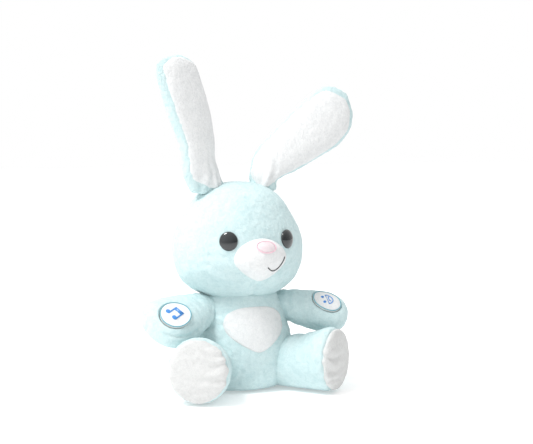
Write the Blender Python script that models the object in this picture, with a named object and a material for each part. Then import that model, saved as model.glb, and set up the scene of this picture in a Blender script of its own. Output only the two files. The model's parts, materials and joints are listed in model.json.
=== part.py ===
"""Interactive plush rabbit: soft skins, electronics module, ear drive and paw switches.

Metres, +Z up. The rabbit sits on Z = 0 and faces -Y; its own right side is -X.
Every named object is one separate physical piece.
"""

import math

import bmesh
import bpy
from mathutils import Vector
from mathutils.bvhtree import BVHTree

GAP = 0.0003                    # clearance between touching pieces
SIDES = (("right", -1.0), ("left", 1.0))

# Plush skins: (height, half width, half depth) of each level, and the depth offset
BODY_LEVELS = (
    (0.0, 0.037, 0.033), (0.004, 0.046, 0.041), (0.015, 0.0515, 0.047),
    (0.034, 0.054, 0.050), (0.054, 0.051, 0.047), (0.072, 0.045, 0.042),
    (0.086, 0.041, 0.038), (0.0940, 0.036, 0.034),
)
BODY_SHIFT_Y = -0.002
HEAD_LEVELS = (
    (0.0945, 0.038, 0.034), (0.098, 0.049, 0.043), (0.105, 0.0565, 0.049),
    (0.114, 0.061, 0.053), (0.126, 0.0645, 0.0555), (0.138, 0.0655, 0.0565),
    (0.150, 0.0615, 0.0535), (0.161, 0.0560, 0.0500), (0.171, 0.0505, 0.0465),
    (0.180, 0.0450, 0.0425), (0.1885, 0.0355, 0.0340), (0.1940, 0.0230, 0.0220),
    (0.1965, 0.0080, 0.0080),
)
HEAD_SHIFT_Y = 0.0
SKIN_SEGMENTS = 30

# Limbs: start and end of the axis, then radii across and through
ARM_SHOULDER = Vector((0.026, -0.004, 0.080))
PALM_SHARE = 0.70                # of the way from shoulder to tip
PALM_SINK = 0.0045
ARM_TIP = Vector((0.1000, -0.0350, 0.0640))
# Each arm is rolled and stuffed a little differently; the pad sits off the middle of the palm by pad_drop.
ARMS = {
    "right": {"normal": Vector((-0.24, -0.62, 0.745)).normalized(), "width": 0.0560, "thickness": 0.0370,
              "pad_drop": 0.0060},
    "left": {"normal": Vector((0.12, -0.54, 0.830)).normalized(), "width": 0.0490, "thickness": 0.0340,
             "pad_drop": 0.0020},
}
LEG_HIP = Vector((0.018, -0.006, 0.030))
SOLE_CENTRE = Vector((0.0675, -0.0735, 0.0310))
LEG_DIRECTION = Vector((0.50, -0.866, 0.0))
SOLE_WIDTH = 0.056
SOLE_HEIGHT = 0.061
TAIL_RADIUS = 0.0145
TAIL_START = Vector((0.0, 0.0375, 0.0155))

# Face
EYE_X = 0.030
EYE_Z = 0.1435
EYE_RADIUS = 0.0085
EYE_HEIGHT = 0.0030
SHANK_RADIUS = 0.0020
SHANK_LENGTH = 0.011
WASHER_RADIUS = 0.007
WASHER_THICKNESS = 0.002
MUZZLE_CENTRE = Vector((0.0, -0.047, 0.1270))
MUZZLE_HALF = Vector((0.0270, 0.0225, 0.0205))
NOSE_Z = 0.1385
NOSE_HALF_X = 0.0095
NOSE_HALF_Z = 0.0050
MOUTH_START = (-0.0010, 0.1178)  # x and z of the smile's lower end, its lowest pull and its raised corner
MOUTH_PULL = (0.0090, 0.1085)
MOUTH_END = (0.0180, 0.1265)
MOUTH_STEPS = 9
PATCH_THICKNESS = 0.0015
PATCH_GAP = 0.0009
BELLY_Z = 0.0600
BELLY_HALF_X = 0.0300
BELLY_HALF_Z = 0.0220
BELLY_POINT = 0.55               # how far the patch narrows towards its lower point

# Ear drive: all axes run along Y
MODULE = 0.0008
TOOTH_TIP = 0.85                 # tooth height above and below the pitch circle, in modules
TOOTH_ROOT = 1.15
TOOTH_SHAPE = ((-0.30, -TOOTH_ROOT), (-0.11, TOOTH_TIP), (0.11, TOOTH_TIP), (0.30, -TOOTH_ROOT))
SECTOR_TEETH = 40
DRIVE_TEETH = 30
SECTOR_REACH = MODULE * (SECTOR_TEETH + DRIVE_TEETH) / 2.0
SECTOR_SLANT = math.radians(54.0)       # from +Z to each pivot, seen from the drive gear; 4.5 tooth pitches
PIVOT_X = SECTOR_REACH * math.sin(SECTOR_SLANT)
PIVOT_Z = 0.180
SECTOR_SPAN = (-2, 5)                   # first tooth and one past the last, from the line to the drive gear
WHEEL_TEETH = 36
PINION_TEETH = 10
GEAR_WIDTH = 0.003
LAYER_SECTOR = -0.0015          # rear-going layers of the gear train, front face of each
LAYER_DRIVE = 0.0020
LAYER_IDLER = 0.0055
PIN_RADIUS = 0.0012
MOTOR_RADIUS = 0.0095
MOTOR_LENGTH = 0.022
GEARBOX_FRONT_Y = -0.0050
GEARBOX_REAR_Y = 0.0125
WALL = 0.0016
LEVER_HUB_RADIUS = 0.0042
BLADE_HALF_WIDTH = 0.0045
BLADE_THICKNESS = 0.0020
BLADE_SWEEP = 0.0185             # room for the swinging blade, from its pivot towards -X
BLADE_CLEAR = 0.0090             # the same towards +X
SLOT_HALF_DEPTH = 0.0040
SLOT_FLOOR_Z = 0.1790
SLOT_TOP_Z = 0.2050
EAR_SIDES = {
    "right": {"lean": math.radians(-21.5), "blade": 0.058, "turn": math.radians(22.0)},
    "left": {"lean": math.radians(-1.0), "blade": 0.034, "turn": math.radians(-22.0)},
}
# Ears: (x, z, tilt of the width line, half width) of each level
EAR_LEVELS = {
    "right": (
        (-0.0330, 0.2065, 0.0, 0.014), (-0.0375, 0.2150, 4.0, 0.0205), (-0.0455, 0.2360, 8.0, 0.0270),
        (-0.0510, 0.2630, 14.0, 0.0290), (-0.0590, 0.2900, 16.0, 0.0275), (-0.0635, 0.3040, 18.0, 0.0210),
        (-0.0665, 0.3115, 20.0, 0.0110),
    ),
    "left": (
        (0.0210, 0.2065, 0.0, 0.0100), (0.0235, 0.2120, -22.0, 0.0140), (0.0330, 0.2160, -48.0, 0.0200),
        (0.0510, 0.2240, -56.0, 0.0265), (0.0760, 0.2405, -56.0, 0.0300), (0.1000, 0.2570, -55.0, 0.0295),
        (0.1140, 0.2660, -52.0, 0.0220), (0.1210, 0.2700, -50.0, 0.0120),
    ),
}
EAR_BACK = 0.0090
EAR_FRONT = 0.0035
LINING_THICKNESS = 0.0025
LINING_SCALE = 0.86
LINING_GAP = 0.0006

# Electronics module in the body
CASE_X = 0.0262
CASE_Z = (0.0220, 0.0700)
CASE_Y = (-0.0200, 0.0330)
CASE_SPLIT_Y = 0.0045
TRAY_FLOOR_Y = 0.0180
TRAY_LOW_Z = 0.0315
DOOR_THICKNESS = 0.0020
DOOR_SCREW_Z = 0.0345
CELL_RADIUS = 0.00525
CELL_LENGTH = 0.0445
CELL_CAP = 0.0010
CELL_PITCH = 0.0115
CELL_FIRST_Z = 0.0374
CELL_Y = 0.0240
BOARD_HALF_X = 0.0235
BOARD_Z = (0.0260, 0.0660)
BOARD_Y = 0.0070
BOARD_THICKNESS = 0.0016
SPEAKER_RADIUS = 0.0165
SPEAKER_Z = 0.0460
SWITCH_Z = 0.0265
SWITCH_TRAVEL = 0.0040
PAW_LEAD_EXIT = Vector((CASE_X, -0.008, 0.0620))

# Paw switches
PAD_RADIUS = 0.0155
PRESS_TRAVEL = 0.0012
PLUNGER_RADIUS = 0.0050
CUP_RADIUS = 0.0125
CUP_DEPTH = 0.0100
LEAD_RADIUS = 0.0011
CHANNEL_RADIUS = 0.0021

COLOURS = {
    "aqua_plush": ((0.72, 0.89, 0.90), 0.95, 0.0),
    "white_plush": ((0.93, 0.94, 0.94), 0.95, 0.0),
    "pink_thread": ((0.93, 0.72, 0.78), 0.7, 0.0),
    "dark_thread": ((0.03, 0.03, 0.04), 0.7, 0.0),
    "eye_plastic": ((0.03, 0.04, 0.045), 0.12, 0.0),
    "case_plastic": ((0.80, 0.81, 0.80), 0.5, 0.0),
    "gear_plastic": ((0.90, 0.88, 0.80), 0.4, 0.0),
    "board": ((0.05, 0.22, 0.10), 0.5, 0.0),
    "black_plastic": ((0.03, 0.03, 0.03), 0.5, 0.0),
    "cell_sleeve": ((0.25, 0.27, 0.30), 0.35, 0.2),
    "steel": ((0.62, 0.62, 0.63), 0.3, 1.0),
    "speaker_cone": ((0.08, 0.08, 0.08), 0.8, 0.0),
    "rubber": ((0.35, 0.36, 0.38), 0.8, 0.0),
    "lead": ((0.70, 0.10, 0.08), 0.5, 0.0),
}


# ---------------------------------------------------------------- helpers

def material(name):
    """Principled material of the given entry of COLOURS."""
    found = bpy.data.materials.get(name)
    if found:
        return found
    colour, roughness, metallic = COLOURS[name]
    made = bpy.data.materials.new(name)
    made.use_nodes = True
    shader = made.node_tree.nodes["Principled BSDF"]
    shader.inputs["Base Color"].default_value = (*colour, 1.0)
    shader.inputs["Roughness"].default_value = roughness
    shader.inputs["Metallic"].default_value = metallic
    return made


def add_object(name, mesh_data, slot, origin=None):
    """Link an object that holds a finished bmesh, with its origin moved to the given point."""
    if origin is not None:
        bmesh.ops.translate(mesh_data, verts=mesh_data.verts, vec=-Vector(origin))
    bmesh.ops.recalc_face_normals(mesh_data, faces=mesh_data.faces)
    mesh = bpy.data.meshes.new(name)
    mesh_data.to_mesh(mesh)
    mesh_data.free()
    piece = bpy.data.objects.new(name, mesh)
    bpy.context.collection.objects.link(piece)
    if origin is not None:
        piece.location = origin
    if slot is None:
        piece.hide_render = True
        piece.display_type = 'WIRE'
        return piece
    mesh.materials.append(material(slot))
    mesh.shade_smooth()
    mesh.set_sharp_from_angle(angle=math.radians(40.0))
    return piece


def cut(piece, *cutters):
    """Take each cutter's volume out of a piece."""
    for cutter in cutters:
        boolean = piece.modifiers.new(cutter.name, 'BOOLEAN')
        boolean.operation = 'DIFFERENCE'
        boolean.solver = 'EXACT'
        boolean.object = cutter
    return piece


def join_on(piece, *others):
    """Make one body of a piece and guides that run into it."""
    for other in others:
        boolean = piece.modifiers.new(other.name, 'BOOLEAN')
        boolean.operation = 'UNION'
        boolean.solver = 'EXACT'
        boolean.object = other
    return piece


def loft(rings):
    """Closed bmesh through rings of points, each ring a list of the same length."""
    mesh_data = bmesh.new()
    rows = [[mesh_data.verts.new(point) for point in ring] for ring in rings]
    count = len(rows[0])
    for low, high in zip(rows, rows[1:]):
        for index in range(count):
            following = (index + 1) % count
            mesh_data.faces.new((low[index], low[following], high[following], high[index]))
    mesh_data.faces.new(rows[0][::-1])
    mesh_data.faces.new(rows[-1])
    return mesh_data


def ellipse(centre, across, through, segments):
    """Points of an ellipse with the given half axes."""
    points = []
    for index in range(segments):
        angle = math.tau * index / segments
        points.append(Vector(centre) + across * math.cos(angle) + through * math.sin(angle))
    return points


def smooth_rows(rows, steps):
    """Catmull-Rom rows through the given rows, with steps intervals between each two."""
    last = len(rows) - 1
    fine = []
    for index in range(last):
        before = rows[max(index - 1, 0)]
        start = rows[index]
        end = rows[index + 1]
        after = rows[min(index + 2, last)]
        for step in range(steps):
            t = step / steps
            fine.append(tuple(
                0.5 * (2.0 * b + (c - a) * t + (2.0 * a - 5.0 * b + 4.0 * c - d) * t * t
                       + (3.0 * b - a - 3.0 * c + d) * t ** 3)
                for a, b, c, d in zip(before, start, end, after)))
    fine.append(tuple(rows[last]))
    return fine


def skin_rings(levels, shift_y, grow=0.0, reach=0.0):
    """Level rings of a skin; grow swells it and reach lengthens both ends."""
    rings = []
    for index, (height, half_x, half_y) in enumerate(levels):
        if index == 0:
            height -= reach
        if index == len(levels) - 1:
            height += reach
        rings.append(ellipse((0.0, shift_y, height), Vector((half_x + grow, 0.0, 0.0)),
                             Vector((0.0, half_y + grow, 0.0)), SKIN_SEGMENTS))
    return rings


def skin(name, levels, shift_y, slot, grow=0.0, reach=0.0):
    """Stuffed skin through its levels."""
    return add_object(name, loft(skin_rings(levels, shift_y, grow, reach)), slot)


def block(name, low, high, slot=None, bevel=0.0):
    """Box between two corners."""
    low = Vector(low)
    high = Vector(high)
    mesh_data = bmesh.new()
    bmesh.ops.create_cube(mesh_data, size=1.0)
    bmesh.ops.scale(mesh_data, vec=high - low, verts=mesh_data.verts)
    bmesh.ops.translate(mesh_data, vec=(low + high) / 2.0, verts=mesh_data.verts)
    if bevel:
        bmesh.ops.bevel(mesh_data, geom=mesh_data.edges, offset=bevel, segments=2,
                        profile=0.5, affect='EDGES')
    return add_object(name, mesh_data, slot)


def frame_for(axis):
    """Two unit vectors square to an axis and to each other."""
    axis = Vector(axis).normalized()
    helper = Vector((0.0, 0.0, 1.0)) if abs(axis.z) < 0.9 else Vector((1.0, 0.0, 0.0))
    across = helper.cross(axis).normalized()
    return across, axis.cross(across).normalized()


def turned(name, base, axis, profile, slot=None, segments=20, origin=None):
    """Solid of revolution: profile is (distance along the axis, radius) from end to end."""
    axis = Vector(axis).normalized()
    across, through = frame_for(axis)
    rings = [ellipse(Vector(base) + axis * along, across * radius, through * radius, segments)
             for along, radius in profile]
    return add_object(name, loft(rings), slot, origin)


def rod(name, start, axis, length, radius, slot=None, segments=16, origin=None):
    """Plain round bar."""
    return turned(name, start, axis, ((0.0, radius), (length, radius)), slot, segments, origin)


def toothed_outline(teeth):
    """Radius at each of four points per tooth, as (angle, radius)."""
    pitch = MODULE * teeth / 2.0
    step = math.tau / teeth
    outline = []
    for tooth in range(teeth):
        middle = tooth * step
        for offset, height in TOOTH_SHAPE:
            outline.append((middle + offset * step, pitch + height * MODULE))
    return outline


def gear_rings(x, z, outline, front_y, rear_y, phase):
    """Two rings of a toothed wheel whose axis runs along Y."""
    rings = []
    for y in (front_y, rear_y):
        rings.append([Vector((x + radius * math.sin(angle + phase), y,
                              z + radius * math.cos(angle + phase))) for angle, radius in outline])
    return rings


def gear(name, x, z, teeth, front_y, slot, phase=0.0, origin=None, width=GEAR_WIDTH):
    """Spur gear on an axis along Y."""
    rings = gear_rings(x, z, toothed_outline(teeth), front_y, front_y + width, phase)
    return add_object(name, loft(rings), slot, origin)


def tube(name, points, radius, slot=None):
    """Round lead or channel through hand-placed points."""
    dense = [Vector(point) for point in smooth_rows([tuple(p) for p in points], 3)]
    if slot is None:
        first = (dense[0] - dense[1]).normalized() * radius
        final = (dense[-1] - dense[-2]).normalized() * radius
        dense = [dense[0] + first] + dense + [dense[-1] + final]
    rings = []
    across = None
    for index, point in enumerate(dense):
        ahead = dense[min(index + 1, len(dense) - 1)] - dense[max(index - 1, 0)]
        ahead.normalize()
        if across is None:
            across = frame_for(ahead)[0]
        across = (across - ahead * across.dot(ahead)).normalized()
        rings.append(ellipse(point, across * radius, ahead.cross(across) * radius, 8))
    return add_object(name, loft(rings), slot)


def mirrored(vector, side):
    """The vector on the given side of the rabbit."""
    return Vector((vector.x * side, vector.y, vector.z))


# ---------------------------------------------------------------- plush skins

def make_body():
    body = skin("body_plush", BODY_LEVELS, BODY_SHIFT_Y, "aqua_plush")
    hollow = block("body_hollow", (-CASE_X - 0.0015, CASE_Y[0] - 0.004, CASE_Z[0] - 0.002),
                   (CASE_X + 0.0015, 0.070, CASE_Z[1] + 0.001))
    neck = rod("body_neck_hole", (0.0, 0.0, 0.065), (0, 0, 1), 0.040, 0.010)
    return cut(body, hollow, neck)


def make_head():
    head = skin("head_plush", HEAD_LEVELS, HEAD_SHIFT_Y, "aqua_plush")
    lower = block("head_hollow_low", (-0.031, -0.029, 0.110), (0.031, 0.0160, 0.172))
    upper = block("head_hollow_high", (-0.0305, -0.0085, 0.160), (0.0305, 0.0145, 0.1885))
    neck = rod("head_neck_hole", (0.0, 0.0, 0.085), (0, 0, 1), 0.035, 0.010)
    cutters = [lower, upper, neck]
    for name, side in SIDES:
        x = side * PIVOT_X
        cutters.append(block("head_slot_" + name, (x - BLADE_SWEEP, -SLOT_HALF_DEPTH, SLOT_FLOOR_Z),
                             (x + BLADE_CLEAR, SLOT_HALF_DEPTH, SLOT_TOP_Z)))
        cutters.append(eye_profile("eye_hole_" + name, side, GAP, None))
        cutters.append(washer("washer_hole_" + name, side, GAP, None))
    return cut(head, *cutters)


def head_guide(name, grow):
    return skin(name, HEAD_LEVELS, HEAD_SHIFT_Y, None, grow, grow)


def body_guide(name, grow):
    return skin(name, BODY_LEVELS, BODY_SHIFT_Y, None, grow, 0.0)


def surface_point(levels, shift_y, x, z):
    """Front point of a skin at the given x and z, and its outward normal."""
    for low, high in zip(levels, levels[1:]):
        if low[0] <= z <= high[0]:
            share = (z - low[0]) / (high[0] - low[0])
            half_x = low[1] + (high[1] - low[1]) * share
            half_y = low[2] + (high[2] - low[2]) * share
            slope = (high[2] - low[2]) / (high[0] - low[0])
            y = shift_y - half_y * math.sqrt(max(0.0, 1.0 - (x / half_x) ** 2))
            normal = Vector((x / half_x ** 2, (y - shift_y) / half_y ** 2, 0.0)).normalized()
            normal.z = -slope
            return Vector((x, y, z)), normal.normalized()
    raise ValueError("height is outside the skin")


def eye_place(side):
    return surface_point(HEAD_LEVELS, HEAD_SHIFT_Y, side * EYE_X, EYE_Z)


def eye_profile(name, side, grow, slot):
    """Domed eye with a shank that runs back through the skin."""
    point, normal = eye_place(side)
    profile = [(-SHANK_LENGTH - grow, SHANK_RADIUS + grow), (-0.0002, SHANK_RADIUS + grow),
               (0.0, EYE_RADIUS + grow), (0.0012, EYE_RADIUS + grow)]
    for share in (0.35, 0.7, 0.95):
        profile.append((0.0012 + EYE_HEIGHT * share, (EYE_RADIUS + grow) * math.sqrt(1.0 - share ** 2)))
    return turned(name, point - normal * 0.0006, normal, profile, slot, 24)


def washer(name, side, grow, slot):
    """Locking washer on the eye's shank."""
    point, normal = eye_place(side)
    start = point - normal * (SHANK_LENGTH - 0.0010 + grow)
    ring = rod(name, start, normal, WASHER_THICKNESS + 2.0 * grow, WASHER_RADIUS + grow, slot)
    if slot is not None:
        cut(ring, rod(name + "_bore", start - normal * 0.002, normal, 0.006, SHANK_RADIUS + GAP))
    return ring


def make_face():
    for name, side in SIDES:
        eye_profile(name + "_eye", side, 0.0, "eye_plastic")
        washer(name + "_eye_washer", side, 0.0, "gear_plastic")

    muzzle = add_object("muzzle", loft(muzzle_rings(0.0)), "white_plush")
    cut(muzzle, head_guide("muzzle_seat", GAP))

    tree = surface_tree(muzzle_rings(0.0))
    nose_outline = [(NOSE_HALF_X * math.cos(math.tau * index / 20.0),
                     NOSE_Z + NOSE_HALF_Z * math.sin(math.tau * index / 20.0)) for index in range(20)]
    surface_patch("nose", nose_outline, tree, 0.0010, "pink_thread")

    points = []
    for step in range(MOUTH_STEPS + 1):
        share = step / MOUTH_STEPS
        weights = ((1.0 - share) ** 2, 2.0 * share * (1.0 - share), share ** 2)
        x, z = (sum(weight * point[axis] for weight, point in zip(weights, (MOUTH_START, MOUTH_PULL, MOUTH_END)))
                for axis in range(2))
        hit = tree.ray_cast(Vector((x, -0.2, z)), Vector((0.0, 1.0, 0.0)))[0]
        points.append(hit - Vector((0.0, 0.0012, 0.0)))
    tube("mouth_stitch", points, 0.0006, "dark_thread")


def surface_tree(rings):
    """Search tree of a lofted surface, for laying other pieces on it."""
    guide = loft(rings)
    bmesh.ops.triangulate(guide, faces=guide.faces)
    tree = BVHTree.FromBMesh(guide)
    guide.free()
    return tree


def surface_patch(name, outline, tree, thickness, slot):
    """Thin patch with the given front outline, laid on a surface that faces -Y."""
    middle_x = sum(x for x, _ in outline) / len(outline)
    middle_z = sum(z for _, z in outline) / len(outline)
    rings = []
    for lift, scales in ((PATCH_GAP + thickness, (0.15, 0.45, 0.75, 0.97)),
                         (PATCH_GAP, (1.0, 0.75, 0.45, 0.15))):
        for scale in scales:
            ring = []
            for x, z in outline:
                start = Vector((middle_x + (x - middle_x) * scale, -0.2, middle_z + (z - middle_z) * scale))
                hit = tree.ray_cast(start, Vector((0.0, 1.0, 0.0)))[0]
                ring.append(hit - Vector((0.0, lift, 0.0)))
            rings.append(ring)
    return add_object(name, loft(rings), slot)


def muzzle_rings(grow):
    """Rounded muzzle, pointed at its lower end, built in rings from back to front."""
    rings = []
    count = 28
    for level in range(9):
        angle = math.pi / 2.0 * level / 8.6
        y = MUZZLE_CENTRE.y - (MUZZLE_HALF.y + grow) * math.sin(angle)
        scale = math.cos(angle)
        ring = []
        for index in range(count):
            turn = math.tau * index / count
            x = (MUZZLE_HALF.x + grow) * math.cos(turn)
            z = (MUZZLE_HALF.z + grow) * math.sin(turn)
            if z < 0.0:
                x *= 1.0 - 0.45 * (z / MUZZLE_HALF.z) ** 2
                z *= 1.12
            ring.append(Vector((x * scale, y, MUZZLE_CENTRE.z + z * scale)))
        rings.append(ring)
    return rings


def make_belly_patch():
    """Shield-shaped patch that follows the front of the body."""
    outline = []
    for index in range(24):
        turn = math.tau * index / 24
        x = BELLY_HALF_X * math.cos(turn)
        z = BELLY_HALF_Z * math.sin(turn)
        if z < 0.0:
            x *= 1.0 - BELLY_POINT * (z / BELLY_HALF_Z) ** 2
        outline.append((x, BELLY_Z + z))
    surface_patch("belly_patch", outline, surface_tree(skin_rings(BODY_LEVELS, BODY_SHIFT_Y)),
                  PATCH_THICKNESS, "white_plush")


def arm_frame(name, side):
    """Shoulder point, length and the along, across and through axes of an arm."""
    shoulder = mirrored(ARM_SHOULDER, side)
    reach = mirrored(ARM_TIP, side) - shoulder
    along = reach.normalized()
    across = along.cross(ARMS[name]["normal"]).normalized()
    if across.z < 0.0:
        across.negate()
    return shoulder, reach.length, along, across, along.cross(across).normalized()


def make_arms(channels):
    for name, side in SIDES:
        normal = ARMS[name]["normal"]
        half_width = ARMS[name]["width"] / 2.0
        half_thickness = ARMS[name]["thickness"] / 2.0
        shoulder, length, along, across, through = arm_frame(name, side)
        rings = []
        for share, width, thick in smooth_rows((
                (0.0, 0.50, 0.62), (0.25, 0.66, 0.80), (0.50, 0.88, 0.95), (0.70, 1.0, 1.0),
                (0.86, 0.90, 0.84), (0.95, 0.64, 0.56), (1.0, 0.26, 0.20)), 1):
            rings.append(ellipse(shoulder + along * length * share, across * half_width * width,
                                 through * half_thickness * thick, 24))
        arm = add_object(name + "_arm", loft(rings), "aqua_plush")
        centre = palm_centre(name, side)
        pocket = turned(name + "_palm_pocket", centre, normal, (
            (-CUP_DEPTH - 0.0008, CUP_RADIUS + GAP), (-0.0008, CUP_RADIUS + GAP),
            (-0.0008 + 0.0001, PAD_RADIUS + 0.0006), (0.020, PAD_RADIUS + 0.0006)), None, 24)
        cut(arm, body_guide(name + "_arm_seat", GAP), head_guide(name + "_arm_head_seat", 0.0008),
            pocket, channels[name])


def palm_centre(name, side):
    """Middle of the flat seat that holds the paw switch, under the palm's skin."""
    shoulder, length, along, across, _ = arm_frame(name, side)
    middle = shoulder + along * length * PALM_SHARE - across * ARMS[name]["pad_drop"]
    return middle + ARMS[name]["normal"] * (ARMS[name]["thickness"] / 2.0 - PALM_SINK)


def make_paw_switches():
    for name, side in SIDES:
        centre = palm_centre(name, side)
        normal = ARMS[name]["normal"]
        cup = turned(name + "_paw_switch", centre, normal, (
            (-CUP_DEPTH, CUP_RADIUS), (-0.0015, CUP_RADIUS)), "case_plastic", 24)
        cut(cup, rod(name + "_cup_hollow", centre - normal * (CUP_DEPTH - WALL), normal,
                     CUP_DEPTH, CUP_RADIUS - WALL, None, 24))
        turned(name + "_contact_dome", centre, normal, (
            (-CUP_DEPTH + WALL + GAP, 0.0055), (-CUP_DEPTH + 0.0026, 0.0055),
            (-CUP_DEPTH + 0.0046, 0.0030)), "rubber", 16)
        stem_start = -CUP_DEPTH + 0.0046 + PRESS_TRAVEL + GAP
        turned(name + "_paw_button", centre, normal, (
            (stem_start, PLUNGER_RADIUS), (-0.0004, PLUNGER_RADIUS), (-0.0003, CUP_RADIUS - WALL - 0.0006),
            (0.0010, CUP_RADIUS - WALL - 0.0006), (0.0011, PAD_RADIUS - 0.0010),
            (0.0020, PAD_RADIUS - 0.0010)), "case_plastic", 24, origin=centre)
        turned(name + "_paw_pad", centre, normal, (
            (0.0023, PAD_RADIUS - 0.0004), (0.0035, PAD_RADIUS), (0.0048, PAD_RADIUS - 0.0010),
            (0.0055, PAD_RADIUS - 0.0040)), "white_plush", 28, origin=centre)


def make_legs():
    for name, side in SIDES:
        direction = mirrored(LEG_DIRECTION, side)
        across = Vector((0.0, 0.0, 1.0)).cross(direction).normalized()
        up = Vector((0.0, 0.0, 1.0))
        hip = mirrored(LEG_HIP, side)
        centre = mirrored(SOLE_CENTRE, side)
        length = (centre - hip).length
        along = (centre - hip).normalized()
        rings = []
        for share, width, height, lift in smooth_rows((
                (0.0, 0.72, 0.76, 0.000), (0.30, 0.80, 0.80, -0.0015), (0.60, 0.90, 0.86, -0.003),
                (0.85, 0.99, 0.96, -0.001), (0.96, 1.0, 1.0, 0.0), (1.0, 0.95, 0.955, 0.0)), 1):
            half_height = SOLE_HEIGHT / 2.0 * height
            middle = hip + along * length * share
            middle.z = max(half_height + 0.0002, middle.z + lift)
            rings.append(ellipse(middle, across * SOLE_WIDTH / 2.0 * width, up * half_height, 28))
        leg = add_object(name + "_leg", loft(rings), "aqua_plush")
        middle_cut = block(name + "_leg_inner_cut", (-0.0030, -0.2, -0.05), (0.0030, 0.2, 0.2))
        cut(leg, body_guide(name + "_leg_seat", GAP), middle_cut)
        rings = []
        for along_sole, scale in ((GAP, 0.93), (0.0018, 0.935), (0.0034, 0.90), (0.0044, 0.80)):
            rings.append(ellipse(centre + along * along_sole, across * SOLE_WIDTH / 2.0 * scale,
                                 up * SOLE_HEIGHT / 2.0 * scale, 28))
        add_object(name + "_sole", loft(rings), "white_plush")


def make_tail():
    profile = []
    radius = TAIL_RADIUS
    for step in range(9):
        angle = math.pi * (step + 0.35) / 8.7
        profile.append((radius - radius * math.cos(angle), radius * math.sin(angle)))
    tail = turned("tail", TAIL_START, (0, 1, 0), profile, "white_plush", 20)
    cut(tail, body_guide("tail_seat", GAP))


def ear_section(centre, width, normal, half_width, front, back):
    """Half-ellipse section: a flat front at -front and a rounded back."""
    points = []
    for index in range(13):
        angle = math.pi * index / 12
        points.append(centre + width * half_width * math.cos(angle)
                      - normal * (back * math.sin(angle) - front * (1.0 - 0.6 * math.sin(angle))))
    points.append(centre - width * half_width * 0.5 + normal * front)
    points.append(centre + width * half_width * 0.5 + normal * front)
    return points


def make_ears():
    for name, side in SIDES:
        setup = EAR_SIDES[name]
        turn = setup["turn"]
        normal = Vector((math.sin(turn), -math.cos(turn), 0.0))
        sideways = Vector((math.cos(turn), math.sin(turn), 0.0))
        back_rings = []
        lining_rings = []
        rows = smooth_rows(EAR_LEVELS[name], 2)
        for index, (x, z, tilt, half_width) in enumerate(rows):
            angle = math.radians(tilt)
            width = sideways * math.cos(angle) + Vector((0.0, 0.0, math.sin(angle)))
            centre = Vector((x, 0.0, z))
            taper = min(1.0, 0.55 + 0.15 * min(index, len(rows) - 1 - index))
            back_rings.append(ear_section(centre, width, normal, half_width, EAR_FRONT, EAR_BACK * taper))
            if 1 <= index < len(rows) - 1:
                flat = centre + normal * (EAR_FRONT + LINING_GAP)
                lining_rings.append([
                    flat + width * half_width * LINING_SCALE,
                    flat - width * half_width * LINING_SCALE,
                    flat - width * half_width * LINING_SCALE * 0.8 + normal * LINING_THICKNESS,
                    flat + width * half_width * LINING_SCALE * 0.8 + normal * LINING_THICKNESS])
        origin = Vector((side * PIVOT_X, 0.0, PIVOT_Z))
        ear = add_object(name + "_ear", loft(back_rings), "aqua_plush", origin)
        cut(ear, blade(name + "_blade_pocket", name, side, GAP, 0.0010, 0.020))
        add_object(name + "_ear_lining", loft(lining_rings), "white_plush", origin)


# ---------------------------------------------------------------- ear drive

def blade(name, side_name, side, grow, extra, start):
    """Flat stiffener that stands on the ear's pivot."""
    setup = EAR_SIDES[side_name]
    up = Vector((math.sin(setup["lean"]), 0.0, math.cos(setup["lean"])))
    across = Vector((math.cos(setup["lean"]), 0.0, -math.sin(setup["lean"])))
    half = BLADE_HALF_WIDTH + grow
    thick = BLADE_THICKNESS / 2.0 + grow
    base = Vector((side * PIVOT_X, 0.0, PIVOT_Z))
    rings = []
    for along in (start, setup["blade"] + extra):
        middle = base + up * along
        rings.append([middle + across * half * a + Vector((0.0, thick * b, 0.0))
                      for a, b in ((1, 1), (-1, 1), (-1, -1), (1, -1))])
    return add_object(name, loft(rings), None)


def drive_places():
    """X and Z of the drive gear, the idler and the motor pinion."""
    drive_z = PIVOT_Z - SECTOR_REACH * math.cos(SECTOR_SLANT)
    stage = MODULE * (WHEEL_TEETH + PINION_TEETH) / 2.0
    return drive_z, drive_z - stage, drive_z - 2.0 * stage


def make_levers():
    """Ear levers: a toothed sector below the pivot and a blade up into the ear."""
    drive_z, _, _ = drive_places()
    pitch = math.tau / SECTOR_TEETH
    for name, side in SIDES:
        origin = Vector((side * PIVOT_X, 0.0, PIVOT_Z))
        towards_drive = math.atan2(-side * PIVOT_X, drive_z - PIVOT_Z)
        outline = []
        for tooth in range(*SECTOR_SPAN):
            middle = towards_drive + (tooth + 0.5) * pitch
            for offset, height in TOOTH_SHAPE:
                outline.append((middle + offset * pitch, MODULE * (SECTOR_TEETH / 2.0 + height)))
        first = outline[0][0]
        final = outline[-1][0]
        for step in range(13):
            angle = final + (math.tau - (final - first)) * (step + 0.5) / 13.0
            outline.append((angle, LEVER_HUB_RADIUS))
        rings = []
        for y in (LAYER_SECTOR, LAYER_SECTOR + GEAR_WIDTH):
            rings.append([Vector((origin.x + radius * math.sin(angle), y,
                                  origin.z + radius * math.cos(angle))) for angle, radius in outline])
        lever = add_object(name + "_ear_lever", loft(rings), "gear_plastic", origin)
        join_on(lever, blade(name + "_lever_blade", name, side, 0.0, 0.0, 0.0018))
        cut(lever, rod(name + "_lever_bore", origin - Vector((0.0, 0.01, 0.0)), (0, 1, 0), 0.02,
                       PIN_RADIUS + GAP))
        rod(name + "_pivot_pin", (origin.x, GEARBOX_FRONT_Y + WALL + GAP, origin.z), (0, 1, 0),
            GEARBOX_REAR_Y - WALL - GEARBOX_FRONT_Y - WALL - 2.0 * GAP, PIN_RADIUS, "steel")


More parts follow.
